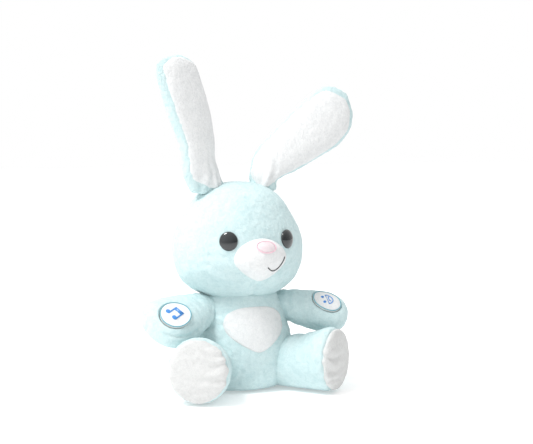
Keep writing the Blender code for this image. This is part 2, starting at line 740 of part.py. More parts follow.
def make_gear_train():
    drive_z, idler_z, motor_z = drive_places()
    drive_origin = Vector((0.0, 0.0, drive_z))
    idler_origin = Vector((0.0, 0.0, idler_z))
    motor_origin = Vector((0.0, 0.0, motor_z))

    # Each sector has a tooth gap on the line of centres, so a tooth of the drive gear points along it.
    phase = SECTOR_SLANT % (math.tau / DRIVE_TEETH)
    drive = gear("drive_gear", 0.0, drive_z, DRIVE_TEETH, LAYER_SECTOR, "gear_plastic", phase, drive_origin)
    wheel = gear("drive_wheel", 0.0, drive_z, WHEEL_TEETH, LAYER_DRIVE, None)
    hub = rod("drive_hub", (0.0, LAYER_SECTOR + GEAR_WIDTH - 0.0005, drive_z), (0, 1, 0), 0.0020, 0.0060)
    join_on(drive, wheel, hub)

    idler = gear("idler_gear", 0.0, idler_z, WHEEL_TEETH, LAYER_IDLER, "gear_plastic",
                 0.0, idler_origin)
    pinion = gear("idler_pinion", 0.0, idler_z, PINION_TEETH, LAYER_DRIVE, None,
                  math.pi / PINION_TEETH, None, GEAR_WIDTH + 0.0008)
    join_on(idler, pinion)

    motor_pinion = gear("motor_pinion", 0.0, motor_z, PINION_TEETH, LAYER_IDLER, "gear_plastic",
                        math.pi / PINION_TEETH, motor_origin)
    for piece, z, radius in ((drive, drive_z, PIN_RADIUS), (idler, idler_z, PIN_RADIUS),
                             (motor_pinion, motor_z, 0.0010)):
        cut(piece, rod(piece.name + "_bore", (0.0, -0.020, z), (0, 1, 0), 0.050, radius + GAP))
    for name, z in (("drive_axle", drive_z), ("idler_axle", idler_z)):
        rod(name, (0.0, GEARBOX_FRONT_Y + WALL + GAP, z), (0, 1, 0),
            GEARBOX_REAR_Y - WALL - GEARBOX_FRONT_Y - WALL - 2.0 * GAP, PIN_RADIUS, "steel")

    motor_rear = LAYER_IDLER - 0.0020
    turned("ear_motor", (0.0, motor_rear - MOTOR_LENGTH, motor_z), (0, 1, 0), (
        (-0.0015, 0.0030), (0.0, 0.0030), (0.0001, MOTOR_RADIUS), (MOTOR_LENGTH, MOTOR_RADIUS),
        (MOTOR_LENGTH + 0.0001, 0.0010), (MOTOR_LENGTH + 0.0048, 0.0010)), "steel", 20)


def make_gearbox():
    drive_z, idler_z, motor_z = drive_places()

    def outline(shrink, front_y, rear_y):
        """Shield-shaped plan of the gearbox, seen from the front."""
        corners = ((-0.0295, 0.1870), (-0.0295, 0.1600), (-0.0190, 0.1480), (-0.0190, 0.1280),
                   (-0.0120, 0.1125), (0.0120, 0.1125), (0.0190, 0.1280), (0.0190, 0.1480),
                   (0.0295, 0.1600), (0.0295, 0.1870))
        middle = Vector((0.0, 0.150))
        rings = []
        for y in (front_y, rear_y):
            ring = []
            for x, z in corners:
                offset_x = math.copysign(shrink, x)
                offset_z = math.copysign(shrink, z - middle.y) if abs(z - middle.y) > 0.02 else 0.0
                ring.append(Vector((x - offset_x, y, z - offset_z)))
            rings.append(ring)
        return loft(rings)

    split = GEARBOX_FRONT_Y + WALL
    rear = add_object("gearbox_rear", outline(0.0, split + GAP, GEARBOX_REAR_Y), "case_plastic")
    cut(rear, add_object("gearbox_hollow", outline(WALL, split - 0.002, GEARBOX_REAR_Y - WALL), None))
    front = add_object("gearbox_front", outline(0.0, GEARBOX_FRONT_Y, split), "case_plastic")
    cut(front, rod("motor_hole", (0.0, -0.050, motor_z), (0, 1, 0), 0.060, MOTOR_RADIUS + 0.0004, None, 24))
    for name, side in SIDES:
        x = side * PIVOT_X
        cut(rear, block(name + "_gearbox_slot", (x - BLADE_SWEEP, -0.0030, 0.1780),
                        (x + BLADE_CLEAR, 0.0030, 0.1950)))
    for name, x, z in (("upper", 0.0, 0.1835), ("lower", -0.0150, 0.1330)):
        boss = rod("boss_" + name, (x, split + GAP, z), (0, 1, 0), GEARBOX_REAR_Y - split - 0.0005, 0.0026)
        join_on(rear, boss)
        hole = rod("boss_hole_" + name, (x, GEARBOX_FRONT_Y - 0.010, z), (0, 1, 0), 0.019, 0.0011)
        cut(rear, hole)
        cut(front, hole)
        turned("gearbox_screw_" + name, (x, GEARBOX_FRONT_Y, z), (0, 1, 0), (
            (-0.0014, 0.0022), (-GAP, 0.0022), (-GAP + 0.0001, 0.0008), (0.0075, 0.0008)), "steel", 12)


# ---------------------------------------------------------------- electronics module

def make_case():
    low_z, high_z = CASE_Z
    front = block("case_front", (-CASE_X, CASE_Y[0], low_z), (CASE_X, CASE_SPLIT_Y - GAP, high_z),
                  "case_plastic")
    cut(front, block("case_front_hollow", (-CASE_X + WALL, CASE_Y[0] + WALL, low_z + WALL),
                     (CASE_X - WALL, CASE_SPLIT_Y + 0.010, high_z - WALL)))
    for row in range(-2, 3):
        half = math.sqrt(max(0.0, 0.0135 ** 2 - (row * 0.005) ** 2))
        z = SPEAKER_Z + row * 0.005
        cut(front, block("grille_slot_%d" % (row + 2), (-half, CASE_Y[0] - 0.002, z - 0.0010),
                         (half, CASE_Y[0] + WALL + 0.0005, z + 0.0010)))
    cut(front, rod("motor_lead_exit", (0.0, 0.0, high_z - 0.006), (0, 0, 1), 0.012, CHANNEL_RADIUS))

    rear = block("case_rear", (-CASE_X, CASE_SPLIT_Y, low_z), (CASE_X, CASE_Y[1], high_z), "case_plastic")
    cut(rear, block("board_hollow", (-CASE_X + WALL, CASE_SPLIT_Y - 0.010, low_z + WALL),
                    (CASE_X - WALL, TRAY_FLOOR_Y - WALL, high_z - WALL)))
    cut(rear, block("tray_hollow", (-CASE_X + WALL, TRAY_FLOOR_Y, TRAY_LOW_Z),
                    (CASE_X - WALL, CASE_Y[1] + 0.010, high_z - WALL)))
    cut(rear, block("switch_slot", (-0.0070, TRAY_FLOOR_Y - WALL - 0.001, SWITCH_Z - 0.0022),
                    (0.0070, CASE_Y[1] + 0.010, SWITCH_Z + 0.0022)))
    for name, side in SIDES:
        start = mirrored(PAW_LEAD_EXIT, side) - Vector((side * 0.004, 0.0, 0.0))
        cut(front, rod(name + "_lead_exit", start, (side, 0, 0), 0.010, CHANNEL_RADIUS))

    door = block("battery_door", (-CASE_X + WALL + GAP, CASE_Y[1] - DOOR_THICKNESS, TRAY_LOW_Z + GAP),
                 (CASE_X - WALL - GAP, CASE_Y[1], high_z - WALL - GAP), "case_plastic")
    hole = rod("door_screw_hole", (0.0, CASE_Y[1] - 0.010, DOOR_SCREW_Z), (0, 1, 0), 0.020, 0.0013)
    recess = rod("door_screw_recess", (0.0, CASE_Y[1] - 0.0008, DOOR_SCREW_Z), (0, 1, 0), 0.010, 0.0022)
    cut(door, hole, recess)
    screw = turned("door_screw", (0.0, CASE_Y[1], DOOR_SCREW_Z), (0, 1, 0), (
        (-0.0037, 0.0010), (-0.0008 + GAP, 0.0010), (-0.0008 + GAP + 0.0001, 0.0019), (0.0004, 0.0019)),
        "steel", 16, origin=Vector((0.0, CASE_Y[1], DOOR_SCREW_Z)))
    cut(screw, block("screw_slot", (-0.0020, CASE_Y[1] - 0.0002, DOOR_SCREW_Z - 0.0003),
                     (0.0020, CASE_Y[1] + 0.002, DOOR_SCREW_Z + 0.0003)))

    slider = block("power_switch", (-0.0065, CASE_Y[1] - 0.0060, SWITCH_Z - 0.0018),
                   (0.0065 - SWITCH_TRAVEL, CASE_Y[1] - 0.0030, SWITCH_Z + 0.0018), "black_plastic")
    join_on(slider, block("switch_knob", (-0.0050, CASE_Y[1] - 0.0040, SWITCH_Z - 0.0014),
                          (0.0010, CASE_Y[1] + 0.0010, SWITCH_Z + 0.0014)))


def make_cells():
    """Three cells lying across the tray, alternate ends reversed, with end contacts."""
    half = CELL_LENGTH / 2.0
    for number in range(3):
        way = 1.0 if number % 2 == 0 else -1.0
        z = CELL_FIRST_Z + number * CELL_PITCH
        turned("battery_%d" % (number + 1), (-way * half, CELL_Y, z), (way, 0, 0), (
            (0.0, CELL_RADIUS), (CELL_LENGTH - CELL_CAP - 0.0001, CELL_RADIUS),
            (CELL_LENGTH - CELL_CAP, 0.0019), (CELL_LENGTH, 0.0019)),
            "cell_sleeve", 20)
    for name, side in SIDES:
        inner = side * (half + GAP)
        outer = side * (CASE_X - WALL - GAP)
        block(name + "_contact_strip", (min(inner, outer), CELL_Y - 0.004, TRAY_LOW_Z + 0.0010),
              (max(inner, outer), CELL_Y + 0.004, CASE_Z[1] - WALL - 0.0010), "steel")


def make_speaker_and_board():
    front = CASE_Y[0] + WALL + GAP
    frame = turned("speaker", (0.0, front, SPEAKER_Z), (0, 1, 0), (
        (0.0, SPEAKER_RADIUS), (0.0012, SPEAKER_RADIUS), (0.0040, 0.0110), (0.0042, 0.0080),
        (0.0090, 0.0080)), "steel", 24)
    cut(frame, turned("speaker_dish", (0.0, front, SPEAKER_Z), (0, 1, 0), (
        (-0.002, 0.0150), (0.0004, 0.0150), (0.0034, 0.0080)), None, 24))
    turned("speaker_cone", (0.0, front, SPEAKER_Z), (0, 1, 0), (
        (0.0005, 0.0142), (0.0008, 0.0136), (0.0026, 0.0093)), "speaker_cone", 24)
    block("circuit_board", (-BOARD_HALF_X, BOARD_Y, BOARD_Z[0]),
          (BOARD_HALF_X, BOARD_Y + BOARD_THICKNESS, BOARD_Z[1]), "board")


# ---------------------------------------------------------------- leads

def paw_lead_points(name, side):
    """Route from the module's side wall, through shoulder and arm, to the paw switch."""
    centre = palm_centre(name, side)
    normal = ARMS[name]["normal"]
    end = centre - normal * (CUP_DEPTH + 2.0 * GAP)
    return [
        mirrored(PAW_LEAD_EXIT, side) + Vector((side * 0.0008, 0.0, 0.0)),
        mirrored(PAW_LEAD_EXIT, side) + Vector((side * 0.0090, 0.0, 0.0020)),
        Vector((side * 0.0480, -0.012, 0.0700)),
        end - normal * 0.0048 - Vector((side * 0.0075, 0.0, 0.0)),
        end - normal * 0.0028 - Vector((side * 0.0010, 0.0, 0.0)),
        end,
    ]


def make_leads():
    """Leads that the plush holds all the way, and the channels they run in."""
    channels = {}
    for name, side in SIDES:
        points = paw_lead_points(name, side)
        tube(name + "_paw_lead", points, LEAD_RADIUS, "lead")
        channels[name] = tube(name + "_lead_channel", points, CHANNEL_RADIUS)
    _, _, motor_z = drive_places()
    motor_front = LAYER_IDLER - 0.0020 - MOTOR_LENGTH - 0.0015
    tube("motor_lead", (
        Vector((0.0, 0.0, CASE_Z[1] - WALL)), Vector((0.0, 0.0, CASE_Z[1] + 0.012)),
        Vector((0.0, -0.002, 0.1040)), Vector((0.0, -0.0065, 0.1120)), Vector((0.0, -0.0150, 0.1140)),
        Vector((0.0, motor_front - 0.0040, motor_z - 0.0075)),
        Vector((0.0, motor_front - 0.0036, motor_z - 0.0020)),
        Vector((0.0, motor_front - GAP, motor_z))), LEAD_RADIUS, "lead")
    return channels


def build():
    for existing in list(bpy.data.objects):
        bpy.data.objects.remove(existing, do_unlink=True)
    channels = make_leads()
    cut(make_body(), *channels.values())
    make_head()
    make_face()
    make_belly_patch()
    make_arms(channels)
    make_paw_switches()
    make_legs()
    make_tail()
    make_ears()
    make_levers()
    make_gear_train()
    make_gearbox()
    make_case()
    make_cells()
    make_speaker_and_board()


build()
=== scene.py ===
"""Looks of the sitting plush rabbit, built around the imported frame. Metres, +Z up, facing -Y."""

import json
import math

import bmesh
import bpy
import numpy as np
from mathutils import Matrix, Vector, noise
from mathutils.bvhtree import BVHTree


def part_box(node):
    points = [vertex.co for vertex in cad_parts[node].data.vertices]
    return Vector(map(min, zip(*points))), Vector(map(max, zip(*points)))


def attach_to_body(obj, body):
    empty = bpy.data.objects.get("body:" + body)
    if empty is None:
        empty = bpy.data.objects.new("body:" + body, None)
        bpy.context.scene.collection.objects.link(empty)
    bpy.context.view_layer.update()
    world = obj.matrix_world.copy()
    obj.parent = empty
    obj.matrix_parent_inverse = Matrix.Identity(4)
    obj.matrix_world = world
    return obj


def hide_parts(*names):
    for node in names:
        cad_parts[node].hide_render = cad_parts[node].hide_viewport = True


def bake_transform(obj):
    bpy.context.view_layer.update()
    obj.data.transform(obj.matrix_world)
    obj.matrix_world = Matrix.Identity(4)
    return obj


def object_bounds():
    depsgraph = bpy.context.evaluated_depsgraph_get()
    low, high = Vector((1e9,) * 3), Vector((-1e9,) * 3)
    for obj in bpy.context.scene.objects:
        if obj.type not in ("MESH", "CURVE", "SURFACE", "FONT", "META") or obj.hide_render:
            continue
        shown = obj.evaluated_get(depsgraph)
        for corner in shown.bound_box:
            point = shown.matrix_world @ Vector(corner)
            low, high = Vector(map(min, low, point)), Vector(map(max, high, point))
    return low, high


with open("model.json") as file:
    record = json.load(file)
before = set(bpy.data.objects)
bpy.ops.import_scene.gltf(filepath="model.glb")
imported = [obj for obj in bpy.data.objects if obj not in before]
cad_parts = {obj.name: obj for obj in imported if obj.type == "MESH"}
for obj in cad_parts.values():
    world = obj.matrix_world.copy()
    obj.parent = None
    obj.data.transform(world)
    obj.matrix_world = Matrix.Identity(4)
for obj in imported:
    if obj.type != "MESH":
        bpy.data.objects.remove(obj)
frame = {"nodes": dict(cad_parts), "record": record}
CAD_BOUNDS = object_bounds()
SIDES = (("right", -1.0), ("left", 1.0))
BACKWARD = Vector((0.0, 1.0, 0.0))
UP = Vector((0.0, 0.0, 1.0))
MM = 0.001

# Camera: a long lens, a little above the rabbit's eyes and to its right
CAMERA_AZIMUTH = math.radians(-25.3)
CAMERA_ELEVATION = math.radians(4.5)
CAMERA_DISTANCE = 1.150
CAMERA_LENS = 80.9
SENSOR_WIDTH = 36.0
AIM_RIGHT = 0.0279
AIM_HEIGHT = 0.1570

# Studio: one soft key light, and a sky that is brightest towards BRIGHT_SIDE. SKY_SPAN holds the cosines
# from that side between which the sky's strength rises over SKY_STRENGTH.
KEY_PLACE = (-0.70, -0.15, 1.20)
KEY_TARGET = (0.0, 0.0, 0.15)
KEY_SIZE = 0.5
KEY_POWER = 13.0
BRIGHT_SIDE = (-0.40, 0.70, 0.59)
SKY_SPAN = (-0.75, 0.10)
SKY_STRENGTH = (0.30, 1.0)
FLOOR_REACH = 6.0
FLOOR_GAP = 0.5 * MM
FLOOR_TONE = 0.90
FLOOR_GLOW = 0.24

# Surface of the cloth
NAP_HEIGHT = 0.55 * MM
CLUMP_SIZE = 3.2 * MM
VOXEL = 4.5 * MM
SIM_FRAMES = 20

# Noise cells per metre in the cloth and in moulded surfaces
CLUMP_SCALE = 240.0
PATCH_SCALE = 42.0
FIBRE_SCALE = 1500.0
THREAD_SCALE = 420.0
TONE_SCALE = 60.0
GRAIN_SCALE = 1800.0


# ---- node helpers

def new_material(name):
    """Node material, with its tree and its shader."""
    made = bpy.data.materials.new(name)
    made.use_nodes = True
    tree = made.node_tree
    return made, tree, tree.nodes["Principled BSDF"]


def noise_node(tree, place, scale, detail, roughness, distortion=0.0):
    """Noise value at a place."""
    node = tree.nodes.new("ShaderNodeTexNoise")
    node.inputs["Scale"].default_value = scale
    node.inputs["Detail"].default_value = detail
    node.inputs["Roughness"].default_value = roughness
    node.inputs["Distortion"].default_value = distortion
    tree.links.new(place, node.inputs["Vector"])
    return node.outputs["Fac"]


def ramp(tree, source, stops):
    """Colour ramp through (position, colour) stops."""
    node = tree.nodes.new("ShaderNodeValToRGB")
    while len(node.color_ramp.elements) < len(stops):
        node.color_ramp.elements.new(0.5)
    for element, (position, colour) in zip(node.color_ramp.elements, stops):
        element.position = position
        element.color = (*colour, 1.0)
    tree.links.new(source, node.inputs["Fac"])
    return node.outputs["Color"]


def mix_colour(tree, factor, first, second, mode="MIX"):
    """Blend of two colours, each of them a tuple or a socket."""
    node = tree.nodes.new("ShaderNodeMix")
    node.data_type = "RGBA"
    node.blend_type = mode
    for value, socket in ((factor, node.inputs[0]), (first, node.inputs[6]), (second, node.inputs[7])):
        if isinstance(value, (int, float)):
            socket.default_value = value
        elif isinstance(value, tuple):
            socket.default_value = (*value, 1.0)
        else:
            tree.links.new(value, socket)
    return node.outputs[2]


def bump(tree, height, strength, distance, normal=None):
    """Bumped normal, laid over another normal where one is given."""
    node = tree.nodes.new("ShaderNodeBump")
    node.inputs["Strength"].default_value = strength
    node.inputs["Distance"].default_value = distance
    tree.links.new(height, node.inputs["Height"])
    if normal is not None:
        tree.links.new(normal, node.inputs["Normal"])
    return node.outputs["Normal"]


def plush_material(name, light, shade, deep, sheen=0.35):
    """Short-pile plush: clumped nap, random tone mixed with painted nap shading, painted light on the tips
    and painted shade in the partings, and a soft edge glow.
    """
    made, tree, shader = new_material(name)
    place = tree.nodes.new("ShaderNodeTexCoord").outputs["Object"]
    clumps = noise_node(tree, place, CLUMP_SCALE, 4.0, 0.62, 0.6)
    patches = noise_node(tree, place, PATCH_SCALE, 3.0, 0.55, 0.4)
    fibres = noise_node(tree, place, FIBRE_SCALE, 2.0, 0.6)
    # Clump colour is random tone mixed with painted shade in the low partings of the clump bump and painted
    # light on its raised tips; the broad patches paint the nap's mottled light and shade as colour, mixed
    # with random tone.
    tips = ramp(tree, clumps, ((0.30, deep), (0.47, shade), (0.62, light)))
    broad = ramp(tree, patches, ((0.30, shade), (0.65, light)))
    colour = mix_colour(tree, 0.55, tips, broad)
    fine = ramp(tree, fibres, ((0.30, (0.86, 0.88, 0.88)), (0.68, (1.0, 1.0, 1.0))))
    colour = mix_colour(tree, 0.85, colour, fine, "MULTIPLY")
    tree.links.new(colour, shader.inputs["Base Color"])
    shader.inputs["Roughness"].default_value = 0.92
    shader.inputs["Specular IOR Level"].default_value = 0.15
    shader.inputs["Sheen Weight"].default_value = sheen
    shader.inputs["Sheen Roughness"].default_value = 0.45
    shader.inputs["Sheen Tint"].default_value = (0.96, 1.0, 1.0, 1.0)
    coarse = bump(tree, clumps, 0.55, 1.6 * MM)
    tree.links.new(bump(tree, fibres, 0.45, 0.5 * MM, coarse), shader.inputs["Normal"])
    return made


def thread_material(name, colour, dark):
    """Satin stitching: fine parallel threads."""
    made, tree, shader = new_material(name)
    place = tree.nodes.new("ShaderNodeTexCoord").outputs["Object"]
    wave = tree.nodes.new("ShaderNodeTexWave")
    wave.inputs["Scale"].default_value = THREAD_SCALE
    wave.inputs["Distortion"].default_value = 1.5
    wave.inputs["Detail"].default_value = 1.0
    tree.links.new(place, wave.inputs["Vector"])
    strands = ramp(tree, wave.outputs["Fac"], ((0.1, dark), (0.8, colour)))
    tree.links.new(strands, shader.inputs["Base Color"])
    shader.inputs["Roughness"].default_value = 0.55
    shader.inputs["Sheen Weight"].default_value = 0.3
    tree.links.new(bump(tree, wave.outputs["Fac"], 0.5, 0.25 * MM), shader.inputs["Normal"])
    return made


def plastic_material(name, colour, roughness, grain=0.08, coat=0.0, metallic=0.0):
    """Moulded plastic or plain metal with a fine surface grain and slight tone change."""
    made, tree, shader = new_material(name)
    place = tree.nodes.new("ShaderNodeTexCoord").outputs["Object"]
    tone = noise_node(tree, place, TONE_SCALE, 3.0, 0.5)
    fine = noise_node(tree, place, GRAIN_SCALE, 2.0, 0.5)
    darker = tuple(channel * 0.9 for channel in colour)
    tones = ramp(tree, tone, ((0.3, darker), (0.7, colour)))
    tree.links.new(tones, shader.inputs["Base Color"])
    wear = tree.nodes.new("ShaderNodeMapRange")
    wear.inputs["To Min"].default_value = roughness * 0.85
    wear.inputs["To Max"].default_value = min(1.0, roughness * 1.2)
    tree.links.new(tone, wear.inputs["Value"])
    tree.links.new(wear.outputs["Result"], shader.inputs["Roughness"])
    shader.inputs["Metallic"].default_value = metallic
    shader.inputs["Coat Weight"].default_value = coat
    shader.inputs["Coat Roughness"].default_value = 0.06
    tree.links.new(bump(tree, fine, grain, 0.1 * MM), shader.inputs["Normal"])
    return made


AQUA = plush_material("aqua_plush_cloth", (0.66, 0.80, 0.81), (0.57, 0.725, 0.74), (0.44, 0.62, 0.645), 0.18)
WHITE = plush_material("white_plush_cloth", (0.85, 0.85, 0.85), (0.79, 0.795, 0.80), (0.69, 0.70, 0.71), 0.12)
# Sole plush: the same white plush as WHITE, painted darker as shade so that the light bounced off the bright
# floor does not overexpose the soles.
SOLE = plush_material("sole_plush_painted_shade", (0.71, 0.71, 0.705), (0.66, 0.66, 0.655), (0.57, 0.57, 0.565), 0.08)
PINK = thread_material("pink_satin", (0.93, 0.66, 0.73), (0.84, 0.50, 0.60))
PALE_PINK = plush_material("pale_nose_cloth", (0.82, 0.73, 0.75), (0.78, 0.67, 0.70), (0.70, 0.58, 0.62), 0.1)
DARK = thread_material("dark_stitch", (0.030, 0.030, 0.034), (0.012, 0.012, 0.014))
TEAL = thread_material("teal_stitch", (0.15, 0.43, 0.50), (0.09, 0.32, 0.40))
BLUE = thread_material("blue_stitch", (0.06, 0.30, 0.72), (0.03, 0.20, 0.58))
EYE = plastic_material("eye_black", (0.012, 0.016, 0.018), 0.13, 0.01, 0.8)
CASE = plastic_material("case_grey", (0.70, 0.71, 0.70), 0.5, 0.25)
GEARS = plastic_material("acetal", (0.86, 0.84, 0.76), 0.42, 0.1)
STEEL = plastic_material("bright_steel", (0.60, 0.60, 0.61), 0.3, 0.1, 0.0, 1.0)
BLACK = plastic_material("black_moulding", (0.022, 0.022, 0.022), 0.45, 0.25)
SLEEVE = plastic_material("cell_sleeve_grey", (0.20, 0.22, 0.25), 0.3, 0.05, 0.4)
BOARD = plastic_material("solder_mask", (0.03, 0.17, 0.07), 0.4, 0.1, 0.3)
CONE = plastic_material("cone_paper", (0.05, 0.05, 0.05), 0.85, 0.4)
SILICONE = plastic_material("silicone_grey", (0.28, 0.29, 0.31), 0.75, 0.15)
LEAD = plastic_material("lead_red", (0.60, 0.05, 0.04), 0.45, 0.1)
SLOT_LOOKS = {
    "aqua_plush": AQUA, "white_plush": WHITE, "pink_thread": PINK, "dark_thread": DARK,
    "eye_plastic": EYE, "case_plastic": CASE, "gear_plastic": GEARS, "board": BOARD,
    "black_plastic": BLACK, "cell_sleeve": SLEEVE, "steel": STEEL, "speaker_cone": CONE,
    "rubber": SILICONE, "lead": LEAD,
}


# ---- mesh helpers

def smooth_rows(rows, steps):
    """Catmull-Rom rows through the given rows, with steps intervals between each two."""
    last = len(rows) - 1
    fine = []
    for index in range(last):
        before = rows[max(index - 1, 0)]
        start = rows[index]
        end = rows[index + 1]
        after = rows[min(index + 2, last)]
        for step in range(steps):
            t = step / steps
            fine.append(tuple(
                0.5 * (2.0 * b + (c - a) * t + (2.0 * a - 5.0 * b + 4.0 * c - d) * t * t
                       + (3.0 * b - a - 3.0 * c + d) * t ** 3)
                for a, b, c, d in zip(before, start, end, after)))
    fine.append(tuple(rows[last]))
    return fine


def ellipse(centre, across, through, segments):
    """Ring of points about a centre, with two vectors as its half axes."""
    points = []
    for index in range(segments):
        angle = math.tau * index / segments
        points.append(Vector(centre) + across * math.cos(angle) + through * math.sin(angle))
    return points


def circle_points(radius_x, radius_y, count):
    """Flat oval of (x, y) points about zero."""
    turns = [math.tau * index / count for index in range(count)]
    return [(radius_x * math.cos(turn), radius_y * math.sin(turn)) for turn in turns]


def bridge(mesh, low, high, shift=0):
    """Band of faces between two rings of vertices, the upper one turned by some steps."""
    count = len(low)
    for index in range(count):
        following = (index + 1) % count
        mesh.faces.new((low[index], low[following],
                        high[(following + shift) % count], high[(index + shift) % count]))


def loft(rings, closed=False):
    """Closed bmesh through rings of points, with fan ends or, where closed, as a loop of rings."""
    mesh = bmesh.new()
    rows = [[mesh.verts.new(point) for point in ring] for ring in rings]
    count = len(rows[0])
    if closed:
        for low, high in zip(rows, rows[1:] + rows[:1]):
            bridge(mesh, low, high, min(range(count), key=lambda step: (high[step].co - low[0].co).length))
    else:
        for low, high in zip(rows, rows[1:]):
            bridge(mesh, low, high)
        for row, turn in ((rows[0], -1), (rows[-1], 1)):
            middle = mesh.verts.new(sum((vert.co for vert in row), Vector()) / count)
            for index in range(count):
                pair = (row[index], row[(index + 1) % count])
                mesh.faces.new((*pair[::turn], middle))
    bmesh.ops.recalc_face_normals(mesh, faces=mesh.faces)
    return mesh


def add_piece(name, mesh, material):
    """Object made from a finished bmesh, with its material, shaded smooth."""
    data = bpy.data.meshes.new(name)
    mesh.to_mesh(data)
    mesh.free()
    data.materials.append(material)
    data.shade_smooth()
    piece = bpy.data.objects.new(name, data)
    bpy.context.scene.collection.objects.link(piece)
    return piece


def apply_modifiers(piece):
    """Bake the modifiers into the piece's mesh."""
    depsgraph = bpy.context.evaluated_depsgraph_get()
    data = bpy.data.meshes.new_from_object(piece.evaluated_get(depsgraph))
    piece.modifiers.clear()
    old = piece.data
    piece.data = data
    bpy.data.meshes.remove(old)
    data.shade_smooth()


def points_of(piece):
    flat = np.empty(len(piece.data.vertices) * 3, np.float32)
    piece.data.vertices.foreach_get("co", flat)
    return flat.reshape(-1, 3).astype(float)


def set_points(piece, points):
    piece.data.vertices.foreach_set("co", points.astype(np.float32).ravel())
    piece.data.update()


def keep_above(piece, height):
    """Flatten what is below a height, as where the toy rests on the floor."""
    points = points_of(piece)
    points[:, 2] = np.maximum(points[:, 2], height)
    set_points(piece, points)


def normals_of(piece):
    flat = np.empty(len(piece.data.vertices) * 3, np.float32)
    piece.data.vertex_normals.foreach_get("vector", flat)
    return flat.reshape(-1, 3).astype(float)


def remesh(piece, voxel):
    modifier = piece.modifiers.new("voxels", "REMESH")
    modifier.mode = "VOXEL"
    modifier.voxel_size = voxel
    modifier.use_smooth_shade = True
    apply_modifiers(piece)


def stuff(piece, cap, pressure=4.0, voxel=VOXEL):
    """Voxel remesh, then let pressure fill the skin like stuffing, moving no point past the cap."""
    remesh(piece, voxel)
    start = points_of(piece)
    cloth = piece.modifiers.new("stuffing", "CLOTH")
    cloth.settings.use_pressure = True
    cloth.settings.uniform_pressure_force = pressure
    cloth.settings.tension_stiffness = 12.0
    cloth.settings.bending_stiffness = 0.4
    cloth.settings.effector_weights.gravity = 0.0
    cloth.point_cache.frame_start = 1
    cloth.point_cache.frame_end = SIM_FRAMES
    scene = bpy.context.scene
    for number in range(1, SIM_FRAMES + 1):
        scene.frame_set(number)
    apply_modifiers(piece)
    scene.frame_set(1)
    moved = points_of(piece) - start
    distance = np.linalg.norm(moved, axis=1, keepdims=True)
    scale = np.minimum(1.0, cap / np.maximum(distance, 1e-9))
    set_points(piece, start + moved * scale)


def refine(piece, levels):
    modifier = piece.modifiers.new("refine", "SUBSURF")
    modifier.levels = levels
    modifier.render_levels = levels
    apply_modifiers(piece)


def press_seam(piece, path, depth, width):
    """Draw the surface in along a seam, given as a list of points near the surface."""
    points = points_of(piece)
    normals = normals_of(piece)
    nearest = np.full(len(points), 1e9)
    for start, end in zip(path, path[1:]):
        a = np.array(start, float)
        d = np.array(end, float) - a
        t = np.clip(((points - a) @ d) / max(d @ d, 1e-12), 0.0, 1.0)
        nearest = np.minimum(nearest, np.linalg.norm(points - a - t[:, None] * d, axis=1))
    pull = depth * np.exp(-(nearest / width) ** 2)
    set_points(piece, points - normals * pull[:, None])


def nap(piece, height=NAP_HEIGHT, clump=CLUMP_SIZE, seed=0.0):
    """Clumped pile: small uneven lifts along the normals, in three sizes."""
    points = points_of(piece)
    normals = normals_of(piece)
    shift = Vector((seed, seed * 0.7, -seed))
    lift = np.empty(len(points))
    for index, point in enumerate(points):
        place = Vector(point)
        coarse = noise.noise(place / (clump * 2.6) + shift)
        fine = noise.noise(place / clump - shift)
        tiny = noise.noise(place / (clump * 0.45) + shift * 2.0)
        lift[index] = 0.50 * coarse + 0.35 * fine + 0.35 * tiny
    set_points(piece, points + normals * (lift * height)[:, None])


def wrinkle(piece, centre, radius, direction, pitch, depth, seed=0.0):
    """Soft folds that run across a direction and fade away from their centre."""
    points = points_of(piece)
    normals = normals_of(piece)
    direction = np.array(Vector(direction).normalized())
    away = points - np.array(centre)
    fade = np.exp(-(np.linalg.norm(away, axis=1) / radius) ** 2)
    shift = Vector((seed, 0.0, 0.0))
    bend = np.array([noise.noise(Vector(point) / (radius * 0.8) + shift) for point in points])
    wave = np.sin(math.tau * ((away @ direction) / pitch + 0.7 * bend + seed))
    set_points(piece, points + normals * (wave * depth * fade)[:, None])


def tube(name, path, radius, material, sides=8, closed=False):
    """Round thread or cord through the points of a path."""
    points = [Vector(point) for point in path]
    count = len(points)
    rings = []
    across = None
    for index, point in enumerate(points):
        if closed:
            ahead = points[(index + 1) % count] - points[index - 1]
        else:
            ahead = points[min(index + 1, count - 1)] - points[max(index - 1, 0)]
        ahead.normalize()
        if across is None:
            helper = UP if abs(ahead.z) < 0.9 else Vector((1.0, 0.0, 0.0))
            across = helper.cross(ahead)
        across = (across - ahead * across.dot(ahead)).normalized()
        rings.append(ellipse(point, across * radius, ahead.cross(across) * radius, sides))
    return add_piece(name, loft(rings, closed), material)


def tree_of(piece):
    data = piece.data
    return BVHTree.FromPolygons([vert.co for vert in data.vertices],
                                [tuple(face.vertices) for face in data.polygons])


def on_surface(tree, point, direction, lift):
    """Where a ray meets a surface, lifted off it along its normal."""
    direction = Vector(direction).normalized()
    hit, normal, _, _ = tree.ray_cast(Vector(point) - direction * 0.1, direction)
    if hit is None:
        hit, normal, _, _ = tree.find_nearest(Vector(point))
    if normal.dot(direction) > 0.0:
        normal = -normal
    return hit + normal * lift


# Underside of a laid patch: share of its outline, and depth under the skin
PATCH_TUCKS = ((1.01, 0.8 * MM), (0.90, 1.0 * MM))


